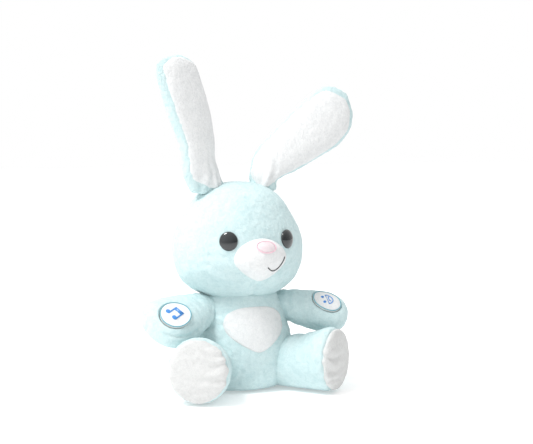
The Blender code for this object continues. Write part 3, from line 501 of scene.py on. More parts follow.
def laid_patch(name, tree, centre, outline, levels, crown, thickness, material):
    """Padded patch laid on the front of a surface: outline is a list of (x, z) offsets from the centre."""
    def laid(share, lift):
        spots = [Vector(centre) + Vector((x, 0.0, z)) * share for x, z in outline]
        return [on_surface(tree, spot, BACKWARD, lift) for spot in spots]

    rings = []
    for level in range(levels):
        share = (level + 0.6) / (levels - 0.4)
        rings.append(laid(share, thickness + crown * (1.0 - share ** 2.5)))
    for share, sink in PATCH_TUCKS:
        rings.append(laid(share, -sink))
    return add_piece(name, loft(rings), material)


def attach(piece, body, *nodes, fill=None):
    """Ride on a body and stand for CAD nodes; the fill argument is not used."""
    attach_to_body(piece, body)
    if nodes:
        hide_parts(*nodes)


# ---- camera, lights and floor

def make_camera():
    """Camera at a set distance from its aim, which lies a little beside the rabbit's middle."""
    right = Vector((math.cos(CAMERA_AZIMUTH), math.sin(CAMERA_AZIMUTH), 0.0))
    back = Vector((math.sin(CAMERA_AZIMUTH) * math.cos(CAMERA_ELEVATION),
                   -math.cos(CAMERA_AZIMUTH) * math.cos(CAMERA_ELEVATION), math.sin(CAMERA_ELEVATION)))
    aim = right * AIM_RIGHT + UP * AIM_HEIGHT
    data = bpy.data.cameras.new("main_camera")
    data.lens = CAMERA_LENS
    data.sensor_width = SENSOR_WIDTH
    camera = bpy.data.objects.new("main_camera", data)
    camera.location = aim + back * CAMERA_DISTANCE
    camera.rotation_euler = back.to_track_quat("Z", "Y").to_euler()
    bpy.context.scene.collection.objects.link(camera)
    bpy.context.scene.camera = camera


def make_key_light():
    """Round soft light from above the rabbit's right."""
    data = bpy.data.lights.new("key", "AREA")
    data.shape = "DISK"
    data.size = KEY_SIZE
    data.energy = KEY_POWER
    light = bpy.data.objects.new("key", data)
    light.location = KEY_PLACE
    light.rotation_euler = (Vector(KEY_PLACE) - Vector(KEY_TARGET)).to_track_quat("Z", "Y").to_euler()
    bpy.context.scene.collection.objects.link(light)


def make_sky():
    """White surroundings that are dimmer on the side away from BRIGHT_SIDE."""
    world = bpy.data.worlds.new("studio")
    world.use_nodes = True
    tree = world.node_tree
    place = tree.nodes.new("ShaderNodeTexCoord").outputs["Generated"]
    facing = tree.nodes.new("ShaderNodeVectorMath")
    facing.operation = "DOT_PRODUCT"
    facing.inputs[1].default_value = BRIGHT_SIDE
    tree.links.new(place, facing.inputs[0])
    spread = tree.nodes.new("ShaderNodeMapRange")
    for label, (low, high) in (("From", SKY_SPAN), ("To", SKY_STRENGTH)):
        spread.inputs[label + " Min"].default_value = low
        spread.inputs[label + " Max"].default_value = high
    tree.links.new(facing.outputs["Value"], spread.inputs["Value"])
    tree.links.new(spread.outputs["Result"], tree.nodes["Background"].inputs["Strength"])
    tree.nodes["Background"].inputs["Color"].default_value = (1.0, 1.0, 1.0, 1.0)
    bpy.context.scene.world = world
    bpy.context.scene.view_settings.view_transform = "Standard"


def make_floor():
    mesh = bmesh.new()
    bmesh.ops.create_grid(mesh, x_segments=1, y_segments=1, size=FLOOR_REACH)
    made, _, shader = new_material("pale_floor")
    shader.inputs["Base Color"].default_value = (FLOOR_TONE, FLOOR_TONE, FLOOR_TONE, 1.0)
    shader.inputs["Roughness"].default_value = 0.95
    shader.inputs["Specular IOR Level"].default_value = 0.05
    shader.inputs["Emission Color"].default_value = (1.0, 1.0, 1.0, 1.0)
    shader.inputs["Emission Strength"].default_value = FLOOR_GLOW
    floor = add_piece("floor", mesh, made)
    floor.location = (0.0, 0.0, CAD_BOUNDS[0][2] - FLOOR_GAP)


# ---- head and body

HEAD_LOW, HEAD_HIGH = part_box("head_plush")
BODY_LOW, BODY_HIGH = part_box("body_plush")

# Level: share of the height, share of the half width, share of the half depth, forward shift in mm
HEAD_SHAPE = (
    (-0.088, 0.34, 0.38, 0.0), (-0.072, 0.47, 0.52, 0.5), (-0.040, 0.61, 0.65, 1.0),
    (0.000, 0.725, 0.735, 1.0), (0.040, 0.805, 0.795, 1.0), (0.090, 0.880, 0.868, 1.0),
    (0.165, 0.940, 0.935, 1.2), (0.270, 0.985, 0.985, 1.0), (0.400, 1.000, 1.000, 0.3),
    (0.500, 0.975, 0.980, 0.0), (0.600, 0.905, 0.925, 0.0), (0.700, 0.815, 0.855, 0.0),
    (0.790, 0.730, 0.775, 0.0), (0.870, 0.620, 0.665, 0.0), (0.935, 0.480, 0.500, 0.0),
    (0.978, 0.300, 0.300, 0.0), (0.996, 0.100, 0.100, 0.0),
)
BODY_SHAPE = (
    (0.000, 0.62, 0.60, 0.0), (0.012, 0.80, 0.78, 0.0), (0.060, 0.905, 0.895, 0.0),
    (0.160, 0.965, 0.96, 0.2), (0.340, 1.000, 1.00, 0.6), (0.500, 0.972, 0.965, 0.5),
    (0.640, 0.905, 0.900, 0.3), (0.770, 0.830, 0.830, 0.0), (0.880, 0.760, 0.765, 0.0),
    (0.965, 0.690, 0.690, 0.0), (1.020, 0.600, 0.600, 0.0),
)
LEVEL_STEPS = 4
SKIN_SEGMENTS = 48
HEAD_SLACK = 1.2 * MM
BODY_SLACK = 0.8 * MM
BODY_SHIFT = -2.0 * MM

# Chin seam, from under the muzzle back towards the neck: its share of the head's depth, and its heights
CHIN_DEPTHS = (0.93, 0.53)
CHIN_HEIGHTS = (0.010, -0.007)
# Seam down each side of the back of the head: turn from the nose, distance from the middle, height
NAPE_TURNS = (101.818, 170.0)
NAPE_HALF_WIDTH = 0.030
NAPE_HEIGHT = 0.096
NAPE_DROP = 0.030
# Soft folds under the cheeks: centre above the head's lowest point, radius, direction, pitch, seed
CHEEK_FOLDS = (
    ((-0.040, -0.035, 0.012), 0.022, (0.4, 0.2, 1.0), 0.011, 1.0),
    ((0.034, -0.042, 0.010), 0.020, (-0.5, 0.2, 1.0), 0.010, 2.0),
)

NECK_HEIGHT = 0.0855
NECK_RADII = (0.040, 0.037)
NECK_SHIFT = -0.004
NECK_TURN = 2.2
# Seam up the front of the body, below the belly patch
FRONT_SEAM_HEIGHTS = (0.004, 0.012, 0.022, 0.034)
FRONT_SEAM_Y = -0.048
FRONT_SEAM_SLOPE = 0.004 / 0.03

CORNER_RADIUS = 0.004
HEM_RADIUS = 1.6 * MM
HEM_OFFSET = 1.4 * MM
HEM_STEP = 2.0 * MM
BACK_MIDDLE_Z = 0.046


def skin_rings(shape, low, high, shift_y, slack):
    """Rings of a skin whose levels are shares of its CAD box, less the slack that stuffing takes up."""
    height = high.z - low.z
    half_x = (high.x - low.x) / 2.0
    half_y = -low.y + shift_y
    rings = []
    for share_z, share_x, share_y, forward in smooth_rows(shape, LEVEL_STEPS):
        rings.append(ellipse((0.0, shift_y - forward * MM, low.z + height * share_z),
                             Vector((half_x * share_x - slack, 0.0, 0.0)),
                             Vector((0.0, half_y * share_y - slack, 0.0)), SKIN_SEGMENTS))
    return rings


def make_head():
    """Head with a chin seam, two seams down the nape and soft folds under the cheeks."""
    rings = skin_rings(HEAD_SHAPE, HEAD_LOW, HEAD_HIGH, 0.0, HEAD_SLACK)
    head = add_piece("head", loft(rings), AQUA)
    stuff(head, 2.0 * MM)
    refine(head, 2)
    chin = []
    for depth, height in zip(np.linspace(*CHIN_DEPTHS, 9), np.linspace(*CHIN_HEIGHTS, 9)):
        chin.append((0.0, HEAD_LOW.y * depth, HEAD_LOW.z + height))
    press_seam(head, chin, 1.8 * MM, 2.2 * MM)
    for _, side in SIDES:
        nape = []
        for turn in np.radians(np.linspace(*NAPE_TURNS, 6)):
            nape.append((side * NAPE_HALF_WIDTH * (1.0 + math.sin(turn)), 0.9 * HEAD_HIGH.y * -math.cos(turn),
                         HEAD_LOW.z + NAPE_HEIGHT - NAPE_DROP * abs(math.cos(turn)) ** 1.5))
        press_seam(head, nape, 0.8 * MM, 2.0 * MM)
    for (x, y, z), radius, direction, pitch, seed in CHEEK_FOLDS:
        wrinkle(head, (x, y, HEAD_LOW.z + z), radius, direction, pitch, 0.5 * MM, seed)
    nap(head, seed=1.0)
    attach(head, "body", "head_plush", fill=0.8)
    return head


def make_body():
    """Pear-shaped body with a neck seam, a front seam, soft folds and an opening in its back."""
    rings = skin_rings(BODY_SHAPE, BODY_LOW, BODY_HIGH, BODY_SHIFT, BODY_SLACK)
    body = add_piece("body", loft(rings), AQUA)
    stuff(body, 2.0 * MM)
    refine(body, 2)
    keep_above(body, BODY_LOW.z + 0.1 * MM)
    radius_x, radius_y = NECK_RADII
    neck = [(radius_x * math.sin(turn), NECK_SHIFT - radius_y * math.cos(turn), NECK_HEIGHT)
            for turn in np.linspace(-NECK_TURN, NECK_TURN, 17)]
    press_seam(body, neck, 1.3 * MM, 1.8 * MM)
    front = [(0.0, FRONT_SEAM_Y + FRONT_SEAM_SLOPE * z, z) for z in FRONT_SEAM_HEIGHTS]
    press_seam(body, front, 1.2 * MM, 2.0 * MM)
    for _, side in SIDES:
        armpit = (side * 0.036, -0.030, 0.066)
        hip = (side * 0.030, -0.040, 0.022)
        wrinkle(body, armpit, 0.016, (0.3 * side, 0.0, 1.0), 0.010, 0.6 * MM, side)
        wrinkle(body, hip, 0.018, (side, 0.0, 0.6), 0.010, 0.5 * MM, side + 3.0)
    nap(body, seed=2.0)
    open_back(body)
    attach(body, "body", "body_plush", fill=0.75)
    return body


def cut_window(body, half_width, low_z, high_z):
    """Cut a rectangular window through the back of the body, as deep as the electronics case."""
    front_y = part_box("case_front")[0].y - 0.002
    size = Vector((2.0 * half_width, 0.080, high_z - low_z))
    cutter = bmesh.new()
    bmesh.ops.create_cube(cutter, size=1.0)
    bmesh.ops.scale(cutter, vec=size, verts=cutter.verts)
    bmesh.ops.translate(cutter, vec=(0.0, front_y + size.y / 2.0, (low_z + high_z) / 2.0), verts=cutter.verts)
    guide = add_piece("back_guide", cutter, AQUA)
    boolean = body.modifiers.new("opening", "BOOLEAN")
    boolean.operation = "DIFFERENCE"
    boolean.solver = "EXACT"
    boolean.object = guide
    apply_modifiers(body)
    bpy.data.objects.remove(guide)


def round_rectangle(half_width, low_z, high_z):
    """Closed path of (x, z) points round a rectangle with rounded corners, in steps of about HEM_STEP."""
    left = CORNER_RADIUS - half_width
    right = half_width - CORNER_RADIUS
    low = low_z + CORNER_RADIUS
    high = high_z - CORNER_RADIUS
    corners = []
    for quarter, (x, z) in enumerate(((right, high), (left, high), (left, low), (right, low))):
        for turn in np.linspace(quarter, quarter + 1, 5) * math.pi / 2.0:
            corners.append((x + CORNER_RADIUS * math.cos(turn), z + CORNER_RADIUS * math.sin(turn)))
    path = []
    for (x, z), (next_x, next_z) in zip(corners, corners[1:] + corners[:1]):
        steps = max(1, int(math.hypot(next_x - x, next_z - z) / HEM_STEP))
        for step in range(steps):
            path.append((x + (next_x - x) * step / steps, z + (next_z - z) * step / steps))
    return path


def open_back(body):
    """Opening in the back that frames the electronics case, with a turned-in edge."""
    case_low, case_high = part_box("case_rear")
    margin = 0.6 * MM
    half_width = case_high.x + margin
    low_z = case_low.z - margin
    high_z = case_high.z + margin
    cut_window(body, half_width, low_z, high_z)
    tree = tree_of(body)
    rim = []
    for x, z in round_rectangle(half_width, low_z, high_z):
        grow = 1.0 + HEM_OFFSET / max(abs(x), 0.02)
        outside = (x * grow, 0.06, z + math.copysign(1.2 * MM, z - BACK_MIDDLE_Z))
        rim.append(on_surface(tree, outside, -BACKWARD, 0.0))
    hem = tube("back_opening_hem", rim, HEM_RADIUS, AQUA, closed=True)
    attach(hem, "body")


# ---- face

MUZZLE_LOW, MUZZLE_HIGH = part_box("muzzle")
MUZZLE_MIDDLE = 0.535
MUZZLE_ROOT = 0.0100
MUZZLE_LIFT = 0.0025
MUZZLE_LEVELS = 15

NOSE_CENTRE_Z = sum(corner.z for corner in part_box("nose")) / 2.0
# Lopsided smile: x and z of its start, of the point that it bends towards, and of its end
MOUTH_START = (0.0005, 0.1200)
MOUTH_DIP = (0.0112, 0.1100)
MOUTH_END = (0.0192, 0.1288)

EYE_X = 0.0300
EYE_RADIUS = 8.6 * MM
EYE_TALL = 1.05
EYE_SEGMENTS = 48
# Sunk rim of an eye: height along its axis in mm, share of the radius
EYE_RIM = ((-2.5, 0.90), (-1.2, 0.97), (-0.3, 1.0))
EYE_DOME = 3.1
EYE_DOME_LEVELS = 14


def muzzle_outline(count):
    """Front view of the muzzle: round cheeks, a flat top and a pointed chin, as shares."""
    outline = []
    for x, z in circle_points(1.0, 1.0, count):
        if z > 0.0:
            z *= 0.96
            x *= 1.0 - 0.10 * z ** 2
        else:
            x *= 1.0 - 0.47 * z ** 2
            z *= 1.12 - 0.04 * abs(x)
        outline.append((x, z))
    return outline


def make_muzzle():
    """Domed white muzzle with a short pile."""
    half_x = (MUZZLE_HIGH.x - MUZZLE_LOW.x) / 2.0
    centre_z = MUZZLE_LOW.z + (MUZZLE_HIGH.z - MUZZLE_LOW.z) * MUZZLE_MIDDLE
    half_z = MUZZLE_HIGH.z - centre_z
    base_y = HEAD_LOW.y + MUZZLE_ROOT
    depth = base_y - MUZZLE_LOW.y - 0.6 * MM
    outline = muzzle_outline(56)
    rings = []
    for level in range(MUZZLE_LEVELS):
        turn = math.pi / 2.0 * level / (MUZZLE_LEVELS - 0.6)
        scale = math.cos(turn) ** 0.82
        y = base_y - depth * math.sin(turn) ** 0.9
        middle_z = centre_z + MUZZLE_LIFT * math.sin(turn)
        rings.append([Vector((x * half_x * scale, y, middle_z + z * half_z * scale)) for x, z in outline])
    muzzle = add_piece("muzzle_plush", loft(rings), WHITE)
    stuff(muzzle, 1.0 * MM, voxel=2.2 * MM)
    refine(muzzle, 2)
    nap(muzzle, 0.28 * MM, 2.2 * MM, 4.0)
    attach(muzzle, "body", "muzzle", fill=0.8)
    return tree_of(muzzle)


def nose_outline(share):
    low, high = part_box("nose")
    return circle_points((high.x - low.x) / 2.0 * share, (high.z - low.z) / 2.0 * share, 40)


def make_nose(seat):
    """Pale nose patch with a stitched outline."""
    nose = laid_patch("nose_pad", seat, (0.0, MUZZLE_LOW.y, NOSE_CENTRE_Z), nose_outline(0.95), 6,
                      0.7 * MM, 0.25 * MM, PALE_PINK)
    attach(nose, "body", "nose", fill=0.5)
    ring = [on_surface(seat, (x, MUZZLE_LOW.y, NOSE_CENTRE_Z + z), BACKWARD, 0.35 * MM)
            for x, z in nose_outline(1.0)]
    attach(tube("nose_outline", ring, 0.42 * MM, PINK, closed=True), "body")


def make_smile(seat):
    """One dark thread on a quadratic curve."""
    smile = []
    for share in np.linspace(0.0, 1.0, 22):
        rest = 1.0 - share
        x = MOUTH_START[0] * rest + MOUTH_END[0] * share
        z = MOUTH_START[1] * rest ** 2 + 2.0 * MOUTH_DIP[1] * share * rest + MOUTH_END[1] * share ** 2
        smile.append(on_surface(seat, (x, MUZZLE_LOW.y, z), BACKWARD, 0.3 * MM))
    attach(tube("smile", smile, 0.50 * MM, DARK), "body", "mouth_stitch")


def make_eye(skin, name, side):
    """Glossy domed safety eye, sunk a little into the pile."""
    z = sum(corner.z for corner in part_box(name + "_eye")) / 2.0
    spot = on_surface(skin, (side * EYE_X, HEAD_LOW.y, z), BACKWARD, 0.0)
    axis = Vector((side * 0.47, -0.87, 0.10)).normalized()
    across = UP.cross(axis).normalized()
    up = axis.cross(across)
    levels = list(EYE_RIM)
    for step in range(1, EYE_DOME_LEVELS + 1):
        turn = math.pi / 2.0 * step / (EYE_DOME_LEVELS + 0.6)
        levels.append((EYE_RIM[-1][0] + EYE_DOME * math.sin(turn), math.cos(turn)))
    rings = []
    for height, share in levels:
        rings.append(ellipse(spot + axis * height * MM, across * EYE_RADIUS * share,
                             up * EYE_RADIUS * share * EYE_TALL, EYE_SEGMENTS))
    attach(add_piece(name + "_eye_dome", loft(rings), EYE), "body", name + "_eye")


def make_face(head):
    seat = make_muzzle()
    make_nose(seat)
    make_smile(seat)
    skin = tree_of(head)
    for name, side in SIDES:
        make_eye(skin, name, side)


# ---- belly and tail

BELLY_MIDDLE = 0.56
TAIL_NAP = 1.5 * MM


def belly_outline(count):
    """Shield shape, as shares: a broad round top that narrows to a blunt point."""
    outline = []
    for x, z in circle_points(1.0, 1.0, count):
        if z < 0.0:
            x *= 1.0 - 0.50 * z ** 2
            z *= 1.08
        else:
            x = math.copysign(abs(x) ** 0.72, x)
            z = 0.80 * z ** 0.85
        outline.append((x, z))
    return outline


def make_belly(body):
    low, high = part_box("belly_patch")
    centre = Vector((0.0, low.y, low.z + (high.z - low.z) * BELLY_MIDDLE))
    half_x = (high.x - low.x) / 2.0
    half_z = (high.z - low.z) / 2.0
    outline = [(x * half_x, z * half_z) for x, z in belly_outline(60)]
    patch = laid_patch("belly_panel", tree_of(body), centre, outline, 16, 0.6 * MM, 0.35 * MM, WHITE)
    nap(patch, 0.35 * MM, 2.6 * MM, 5.0)
    attach(patch, "body", "belly_patch", fill=0.4)


def make_tail():
    """Shaggy white ball."""
    low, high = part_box("tail")
    centre = (low + high) / 2.0
    radius = (high.z - low.z) / 2.0
    centre.y = high.y - radius
    mesh = bmesh.new()
    bmesh.ops.create_icosphere(mesh, subdivisions=5, radius=radius * 0.98, matrix=Matrix.Translation(centre))
    tail = add_piece("tail_puff", mesh, WHITE)
    nap(tail, TAIL_NAP, 3.0 * MM, 6.0)
    attach(tail, "body", "tail", fill=0.7)


# ---- arms

# Outward normal of each palm, which sets the arm's roll, and the arm's full width and thickness
ARMS = {
    "right": {"normal": Vector((-0.24, -0.62, 0.745)).normalized(), "width": 0.0575, "thickness": 0.0370},
    "left": {"normal": Vector((0.12, -0.54, 0.830)).normalized(), "width": 0.0490, "thickness": 0.0340},
}
SHOULDER = Vector((0.0290, -0.0060, 0.0800))
ARM_TIP = Vector((0.1015, -0.0355, 0.0638))
# Level: share of the length, share of the half width, share of the half thickness
ARM_SHAPE = (
    (0.0, 0.40, 0.50), (0.06, 0.52, 0.66), (0.25, 0.68, 0.84), (0.45, 0.85, 0.96), (0.65, 0.985, 1.0),
    (0.80, 0.97, 0.93), (0.91, 0.80, 0.72), (0.97, 0.55, 0.48), (1.0, 0.22, 0.20),
)
# Seam along each edge of an arm: share of the half width, share of the half thickness
ARM_SEAMS = ((-0.90, 0.34), (0.98, -0.10))
SEAM_TURN_IN = 0.72

# Seat of a paw pad in the palm: its depth and radius, the softness of its edge, and how far down it acts
SEAT_DEPTH = 3.3 * MM
SEAT_RADIUS = 15.1 * MM
SEAT_EDGE = 0.25 * MM
SEAT_REACH = 8.0 * MM


def mirrored(point, side):
    return Vector((side * point.x, point.y, point.z))


def palm_axes(name):
    """Centre, outward normal and in-plane axes of a palm, from the paw pad's box."""
    low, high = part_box(name + "_paw_pad")
    normal = ARMS[name]["normal"]
    right = UP.cross(normal).normalized()
    return (low + high) / 2.0, normal, right, normal.cross(right).normalized()


def make_arm(name, side):
    """Arm from shoulder to paw, with a seam along each edge and a seat for its pad."""
    shoulder = mirrored(SHOULDER, side)
    reach = mirrored(ARM_TIP, side) - shoulder
    centre, normal, _, _ = palm_axes(name)
    half_width = ARMS[name]["width"] / 2.0
    half_thick = ARMS[name]["thickness"] / 2.0
    along = reach.normalized()
    across = along.cross(normal).normalized()
    through = across.cross(along).normalized()
    rings = []
    for share, width, thick in smooth_rows(ARM_SHAPE, 3):
        rings.append(ellipse(shoulder + reach * share, across * half_width * width,
                             through * half_thick * thick, 40))
    arm = add_piece(name + "_arm_plush", loft(rings), AQUA)
    stuff(arm, 1.6 * MM, voxel=3.6 * MM)
    refine(arm, 2)
    for edge, rise in ARM_SEAMS:
        seam = []
        for share in np.linspace(0.02, 0.99, 26):
            swell = math.sin(math.pi * min(1.0, share * 0.55 + 0.13)) ** 0.8
            past = max(0.0, (share - SEAM_TURN_IN) / (1.0 - SEAM_TURN_IN))
            swell *= math.sqrt(max(0.0, 1.0 - past ** 2))
            seam.append(shoulder + reach * share + across * edge * half_width * swell
                        + normal * half_thick * rise)
        press_seam(arm, seam, 1.5 * MM, 1.3 * MM)
    wrinkle(arm, shoulder + reach * 0.25, 0.018, along, 0.010, 0.7 * MM, side)
    nap(arm, seed=7.0 + side)
    skin = tree_of(arm)
    seat_palm(arm, centre, normal)
    attach(arm, "body", name + "_arm", fill=0.8)
    return skin


def seat_palm(arm, centre, normal):
    """Press the palm flat under its pad, deep enough for the pad to travel."""
    points = points_of(arm)
    outward = np.array(normal)
    offset = points - np.array(centre)
    height = offset @ outward
    radial = np.linalg.norm(offset - height[:, None] * outward, axis=1)
    mask = 1.0 / (1.0 + np.exp((radial - SEAT_RADIUS) / SEAT_EDGE))
    over = np.maximum(0.0, height + SEAT_DEPTH) * mask
    over[height < -SEAT_REACH] = 0.0
    set_points(arm, points - outward * over[:, None])


# ---- paw pads

PAD_RADIUS = 14.6 * MM
PAD_SEGMENTS = 64
# Flat underside: share of the radius, height in mm over the pad's middle
PAD_UNDER = ((0.55, -1.7), (0.96, -1.65))
# Crown: share of the radius, drop in mm under the palm's curve
PAD_CROWN = ((1.0, 0.50), (0.985, 0.12), (0.94, 0.0), (0.85, 0.0), (0.70, 0.0), (0.52, 0.0), (0.34, 0.0),
             (0.16, 0.0))
PAD_PROUD = 0.3 * MM
PAD_LOWEST = -1.1 * MM
THREAD_PROUD = 0.12 * MM
RING_RADIUS = 13.9
ICON_TURN = {"right": math.radians(-42.0), "left": math.radians(78.0)}
ICON_SCALE = 1.1


def make_pad(name, side, skin):
    """White pad that carries on the palm's old curve, kept clear of the button below."""
    centre, normal, right, up = palm_axes(name)
    circle = circle_points(PAD_RADIUS, PAD_RADIUS, PAD_SEGMENTS)
    rings = []
    for share, lift in PAD_UNDER:
        rings.append([centre + right * x * share + up * y * share + normal * lift * MM for x, y in circle])
    for share, drop in PAD_CROWN:
        ring = []
        for x, y in circle:
            spot = centre + right * x * share + up * y * share
            hit, _, _, _ = skin.ray_cast(spot + normal * 0.03, -normal)
            height = (hit - centre).dot(normal) if hit is not None else 0.0
            ring.append(spot + normal * (max(height + PAD_PROUD, PAD_LOWEST) - drop * MM))
        rings.append(ring)
    pad = add_piece(name + "_paw_patch", loft(rings), WHITE)
    refine(pad, 1)
    nap(pad, 0.22 * MM, 2.0 * MM, 9.0 + side)
    attach(pad, name + "_paw_plunger", name + "_paw_pad", fill=0.5)
    return tree_of(pad)


def make_paw(name, side, skin):
    """Pad with its stitched ring and icon, whose points are in mm from the pad's middle."""
    tree = make_pad(name, side, skin)
    centre, normal, right, up = palm_axes(name)

    def thread(label, points, material, thickness, closed=False):
        spots = [centre + (right * x + up * y) * MM + normal * 0.01 for x, y in points]
        laid = [on_surface(tree, spot, -normal, THREAD_PROUD) for spot in spots]
        strand = tube(name + label, laid, thickness * MM, material, sides=6, closed=closed)
        attach(strand, name + "_paw_plunger")

    thread("_paw_ring", circle_points(RING_RADIUS, RING_RADIUS, 72), TEAL, 0.55, True)
    cosine = math.cos(ICON_TURN[name]) * ICON_SCALE
    sine = math.sin(ICON_TURN[name]) * ICON_SCALE
    strands = note_strands() if name == "right" else smiley_strands()
    for label, points, thickness, closed in strands:
        turned = [(x * cosine - y * sine, x * sine + y * cosine) for x, y in points]
        thread(label, turned, BLUE, thickness, closed)


def disc_fill(radius_x, radius_y, centre_x, centre_y, turns=4):
    """Spiral of thread that fills a small oval."""
    points = []
    for share in np.linspace(0.0, 1.0, 16 * turns + 1):
        angle = math.tau * turns * share
        points.append((centre_x + radius_x * share * math.cos(angle),
                       centre_y + radius_y * share * math.sin(angle)))
    return points


def rows_fill(left, right, bottom, top, rows):
    """Zigzag of thread that fills a bar."""
    points = []
    ends = (left, right)
    for row in range(rows + 1):
        y = bottom + (top - bottom) * row / rows
        points.extend([(ends[row % 2], y), (ends[(row + 1) % 2], y)])
    return points


def note_strands():
    """Pair of joined quavers: label, points, thread radius and whether it closes."""
    return (
        ("_note_head_a", disc_fill(2.1, 1.7, -5.6, -2.9), 0.42, False),
        ("_note_head_b", disc_fill(2.1, 1.7, 2.2, -3.9), 0.42, False),
        ("_note_stem_a", rows_fill(-4.5, -3.4, -2.6, 4.6, 14), 0.32, False),
        ("_note_stem_b", rows_fill(3.3, 4.4, -3.6, 3.6, 14), 0.32, False),
        ("_note_beam", rows_fill(-4.5, 4.4, 2.4, 5.2, 6), 0.42, False),
    )


def smiley_strands():
    """Two eyes and an open, laughing mouth with a tongue, in the same form."""
    mouth = [(-5.4, 0.6)]
    for angle in np.linspace(math.pi, math.tau, 17):
        mouth.append((5.4 * math.cos(angle), 0.6 + 5.2 * math.sin(angle)))
    tongue = []
    for angle in np.linspace(0.1, math.pi, 14):
        tongue.append((2.8 * math.cos(angle), -2.2 + 1.4 * math.sin(angle)))
    return (
        ("_face_eye_a", disc_fill(1.1, 1.3, -3.0, 4.2, 3), 0.40, False),
        ("_face_eye_b", disc_fill(1.1, 1.3, 3.0, 4.2, 3), 0.40, False),
        ("_face_mouth", mouth, 0.5, True),
        ("_face_tongue", tongue, 0.45, False),
    )


# ---- legs and soles

LEGS = {
    "right": {"hip": Vector((-0.0320, -0.0100, 0.0300)), "sole": Vector((-0.0705, -0.0725, 0.0310))},
    "left": {"hip": Vector((0.0200, -0.0100, 0.0300)), "sole": Vector((0.0675, -0.0735, 0.0310))},
}
# Level: share of the length, share of the half width, share of the half height
LEG_SHAPE = (
    (0.0, 0.60, 0.62), (0.05, 0.72, 0.74), (0.30, 0.82, 0.80), (0.60, 0.92, 0.86), (0.80, 0.99, 0.945),
    (0.92, 1.015, 1.0), (0.985, 0.985, 0.985), (1.0, 0.90, 0.90),
)
LEG_HALF_WIDTH = 28.2 * MM
LEG_HALF_HEIGHT = 30.5 * MM
LEG_OFF_FLOOR = 0.4 * MM
# Level: distance in mm in front of the leg's end, share of the sole's half width and half height
SOLE_SHAPE = (
    (-3.0, 0.90), (-0.5, 0.965), (0.8, 0.985), (2.2, 0.955), (3.2, 0.89), (4.0, 0.74), (4.5, 0.50),
    (4.7, 0.22),
)
SOLE_HALF_WIDTH = 28.0 * MM
SOLE_HALF_HEIGHT = 30.2 * MM


def make_leg(name, side):
    """Leg that widens towards the foot and lies flat along the floor."""
    hip = LEGS[name]["hip"]
    reach = LEGS[name]["sole"] - hip
    along = reach.normalized()
    across = UP.cross(along).normalized()
    rings = []
    for share, width, height in smooth_rows(LEG_SHAPE, 3):
        half_height = LEG_HALF_HEIGHT * height
        middle = hip + reach * share
        middle.z = half_height + LEG_OFF_FLOOR
        rings.append(ellipse(middle, across * LEG_HALF_WIDTH * width, UP * half_height, 44))
    leg = add_piece(name + "_leg_plush", loft(rings), AQUA)
    stuff(leg, 1.5 * MM, voxel=4.0 * MM)
    refine(leg, 2)
    wrinkle(leg, hip + reach * 0.45 + UP * 0.012, 0.024, along, 0.014, 0.9 * MM, side)
    nap(leg, seed=12.0 + side)
    keep_above(leg, 0.2 * MM)
    attach(leg, "body", name + "_leg", fill=0.8)


def make_sole(name, side):
    """Crowned sole with soft folds towards its inner edge."""
    centre = LEGS[name]["sole"]
    along = (centre - LEGS[name]["hip"]).normalized()
    across = UP.cross(along).normalized()
    rings = []
    for offset, share in SOLE_SHAPE:
        rings.append(ellipse(centre + along * offset * MM, across * SOLE_HALF_WIDTH * share,
                             UP * SOLE_HALF_HEIGHT * share, 56))
    # The sole panel wears the sole plush, which is white plush painted darker as shade.
    sole = add_piece(name + "_sole_panel", loft(rings), SOLE)
    stuff(sole, 1.0 * MM, voxel=2.8 * MM)
    refine(sole, 2)
    inner_spot = centre + across * -side * 0.018 + along * 3.0 * MM
    wrinkle(sole, inner_spot, 0.020, UP, 0.012, 0.9 * MM, 0.3 + side)
    nap(sole, 0.30 * MM, 2.6 * MM, 14.0 + side)
    keep_above(sole, 0.3 * MM)
    attach(sole, "body", name + "_sole", fill=0.6)


# ---- ears

# Level: x and z of the centre, tilt of the width line in degrees, half width, half thickness
EARS = {
    "right": {
        "turn": math.radians(22.0), "lining": (-0.75, 0.90),
        "levels": (
            (-0.0290, 0.1860, 2.0, 0.0215, 0.0095), (-0.0325, 0.1940, 2.0, 0.0232, 0.0095),
            (-0.0368, 0.2030, 1.0, 0.0246, 0.0090), (-0.0400, 0.2160, 2.0, 0.0238, 0.0085),
            (-0.0422, 0.2360, 5.0, 0.0254, 0.0085), (-0.0500, 0.2630, 8.0, 0.0290, 0.0085),
            (-0.0580, 0.2890, 8.0, 0.0284, 0.0080), (-0.0622, 0.3030, 6.0, 0.0270, 0.0072),
            (-0.0645, 0.3100, 5.0, 0.0220, 0.0058), (-0.0655, 0.3150, 5.0, 0.0110, 0.0032),
        ),
    },
    "left": {
        "turn": math.radians(-22.0), "lining": (-0.80, 0.93),
        "levels": (
            (0.0250, 0.1860, 0.0, 0.0160, 0.0095), (0.0262, 0.1940, -6.0, 0.0150, 0.0090),
            (0.0285, 0.2035, -27.0, 0.0175, 0.0085), (0.0345, 0.2120, -41.0, 0.0208, 0.0082),
            (0.0457, 0.2200, -48.0, 0.0242, 0.0085), (0.0692, 0.2380, -58.0, 0.0288, 0.0090),
            (0.0911, 0.2530, -61.0, 0.0312, 0.0085), (0.1052, 0.2635, -62.0, 0.0290, 0.0075),
            (0.1165, 0.2690, -66.0, 0.0222, 0.0058), (0.1235, 0.2725, -70.0, 0.0110, 0.0032),
        ),
    },
}
EAR_Y = 0.001
EAR_SLACK = 0.8 * MM
LEVELS_BETWEEN = 5
LINING_COLUMNS = 30
# Rows left free of the lining at each end of an ear
LINING_MARGIN = 3
FOLD_ROW = 6


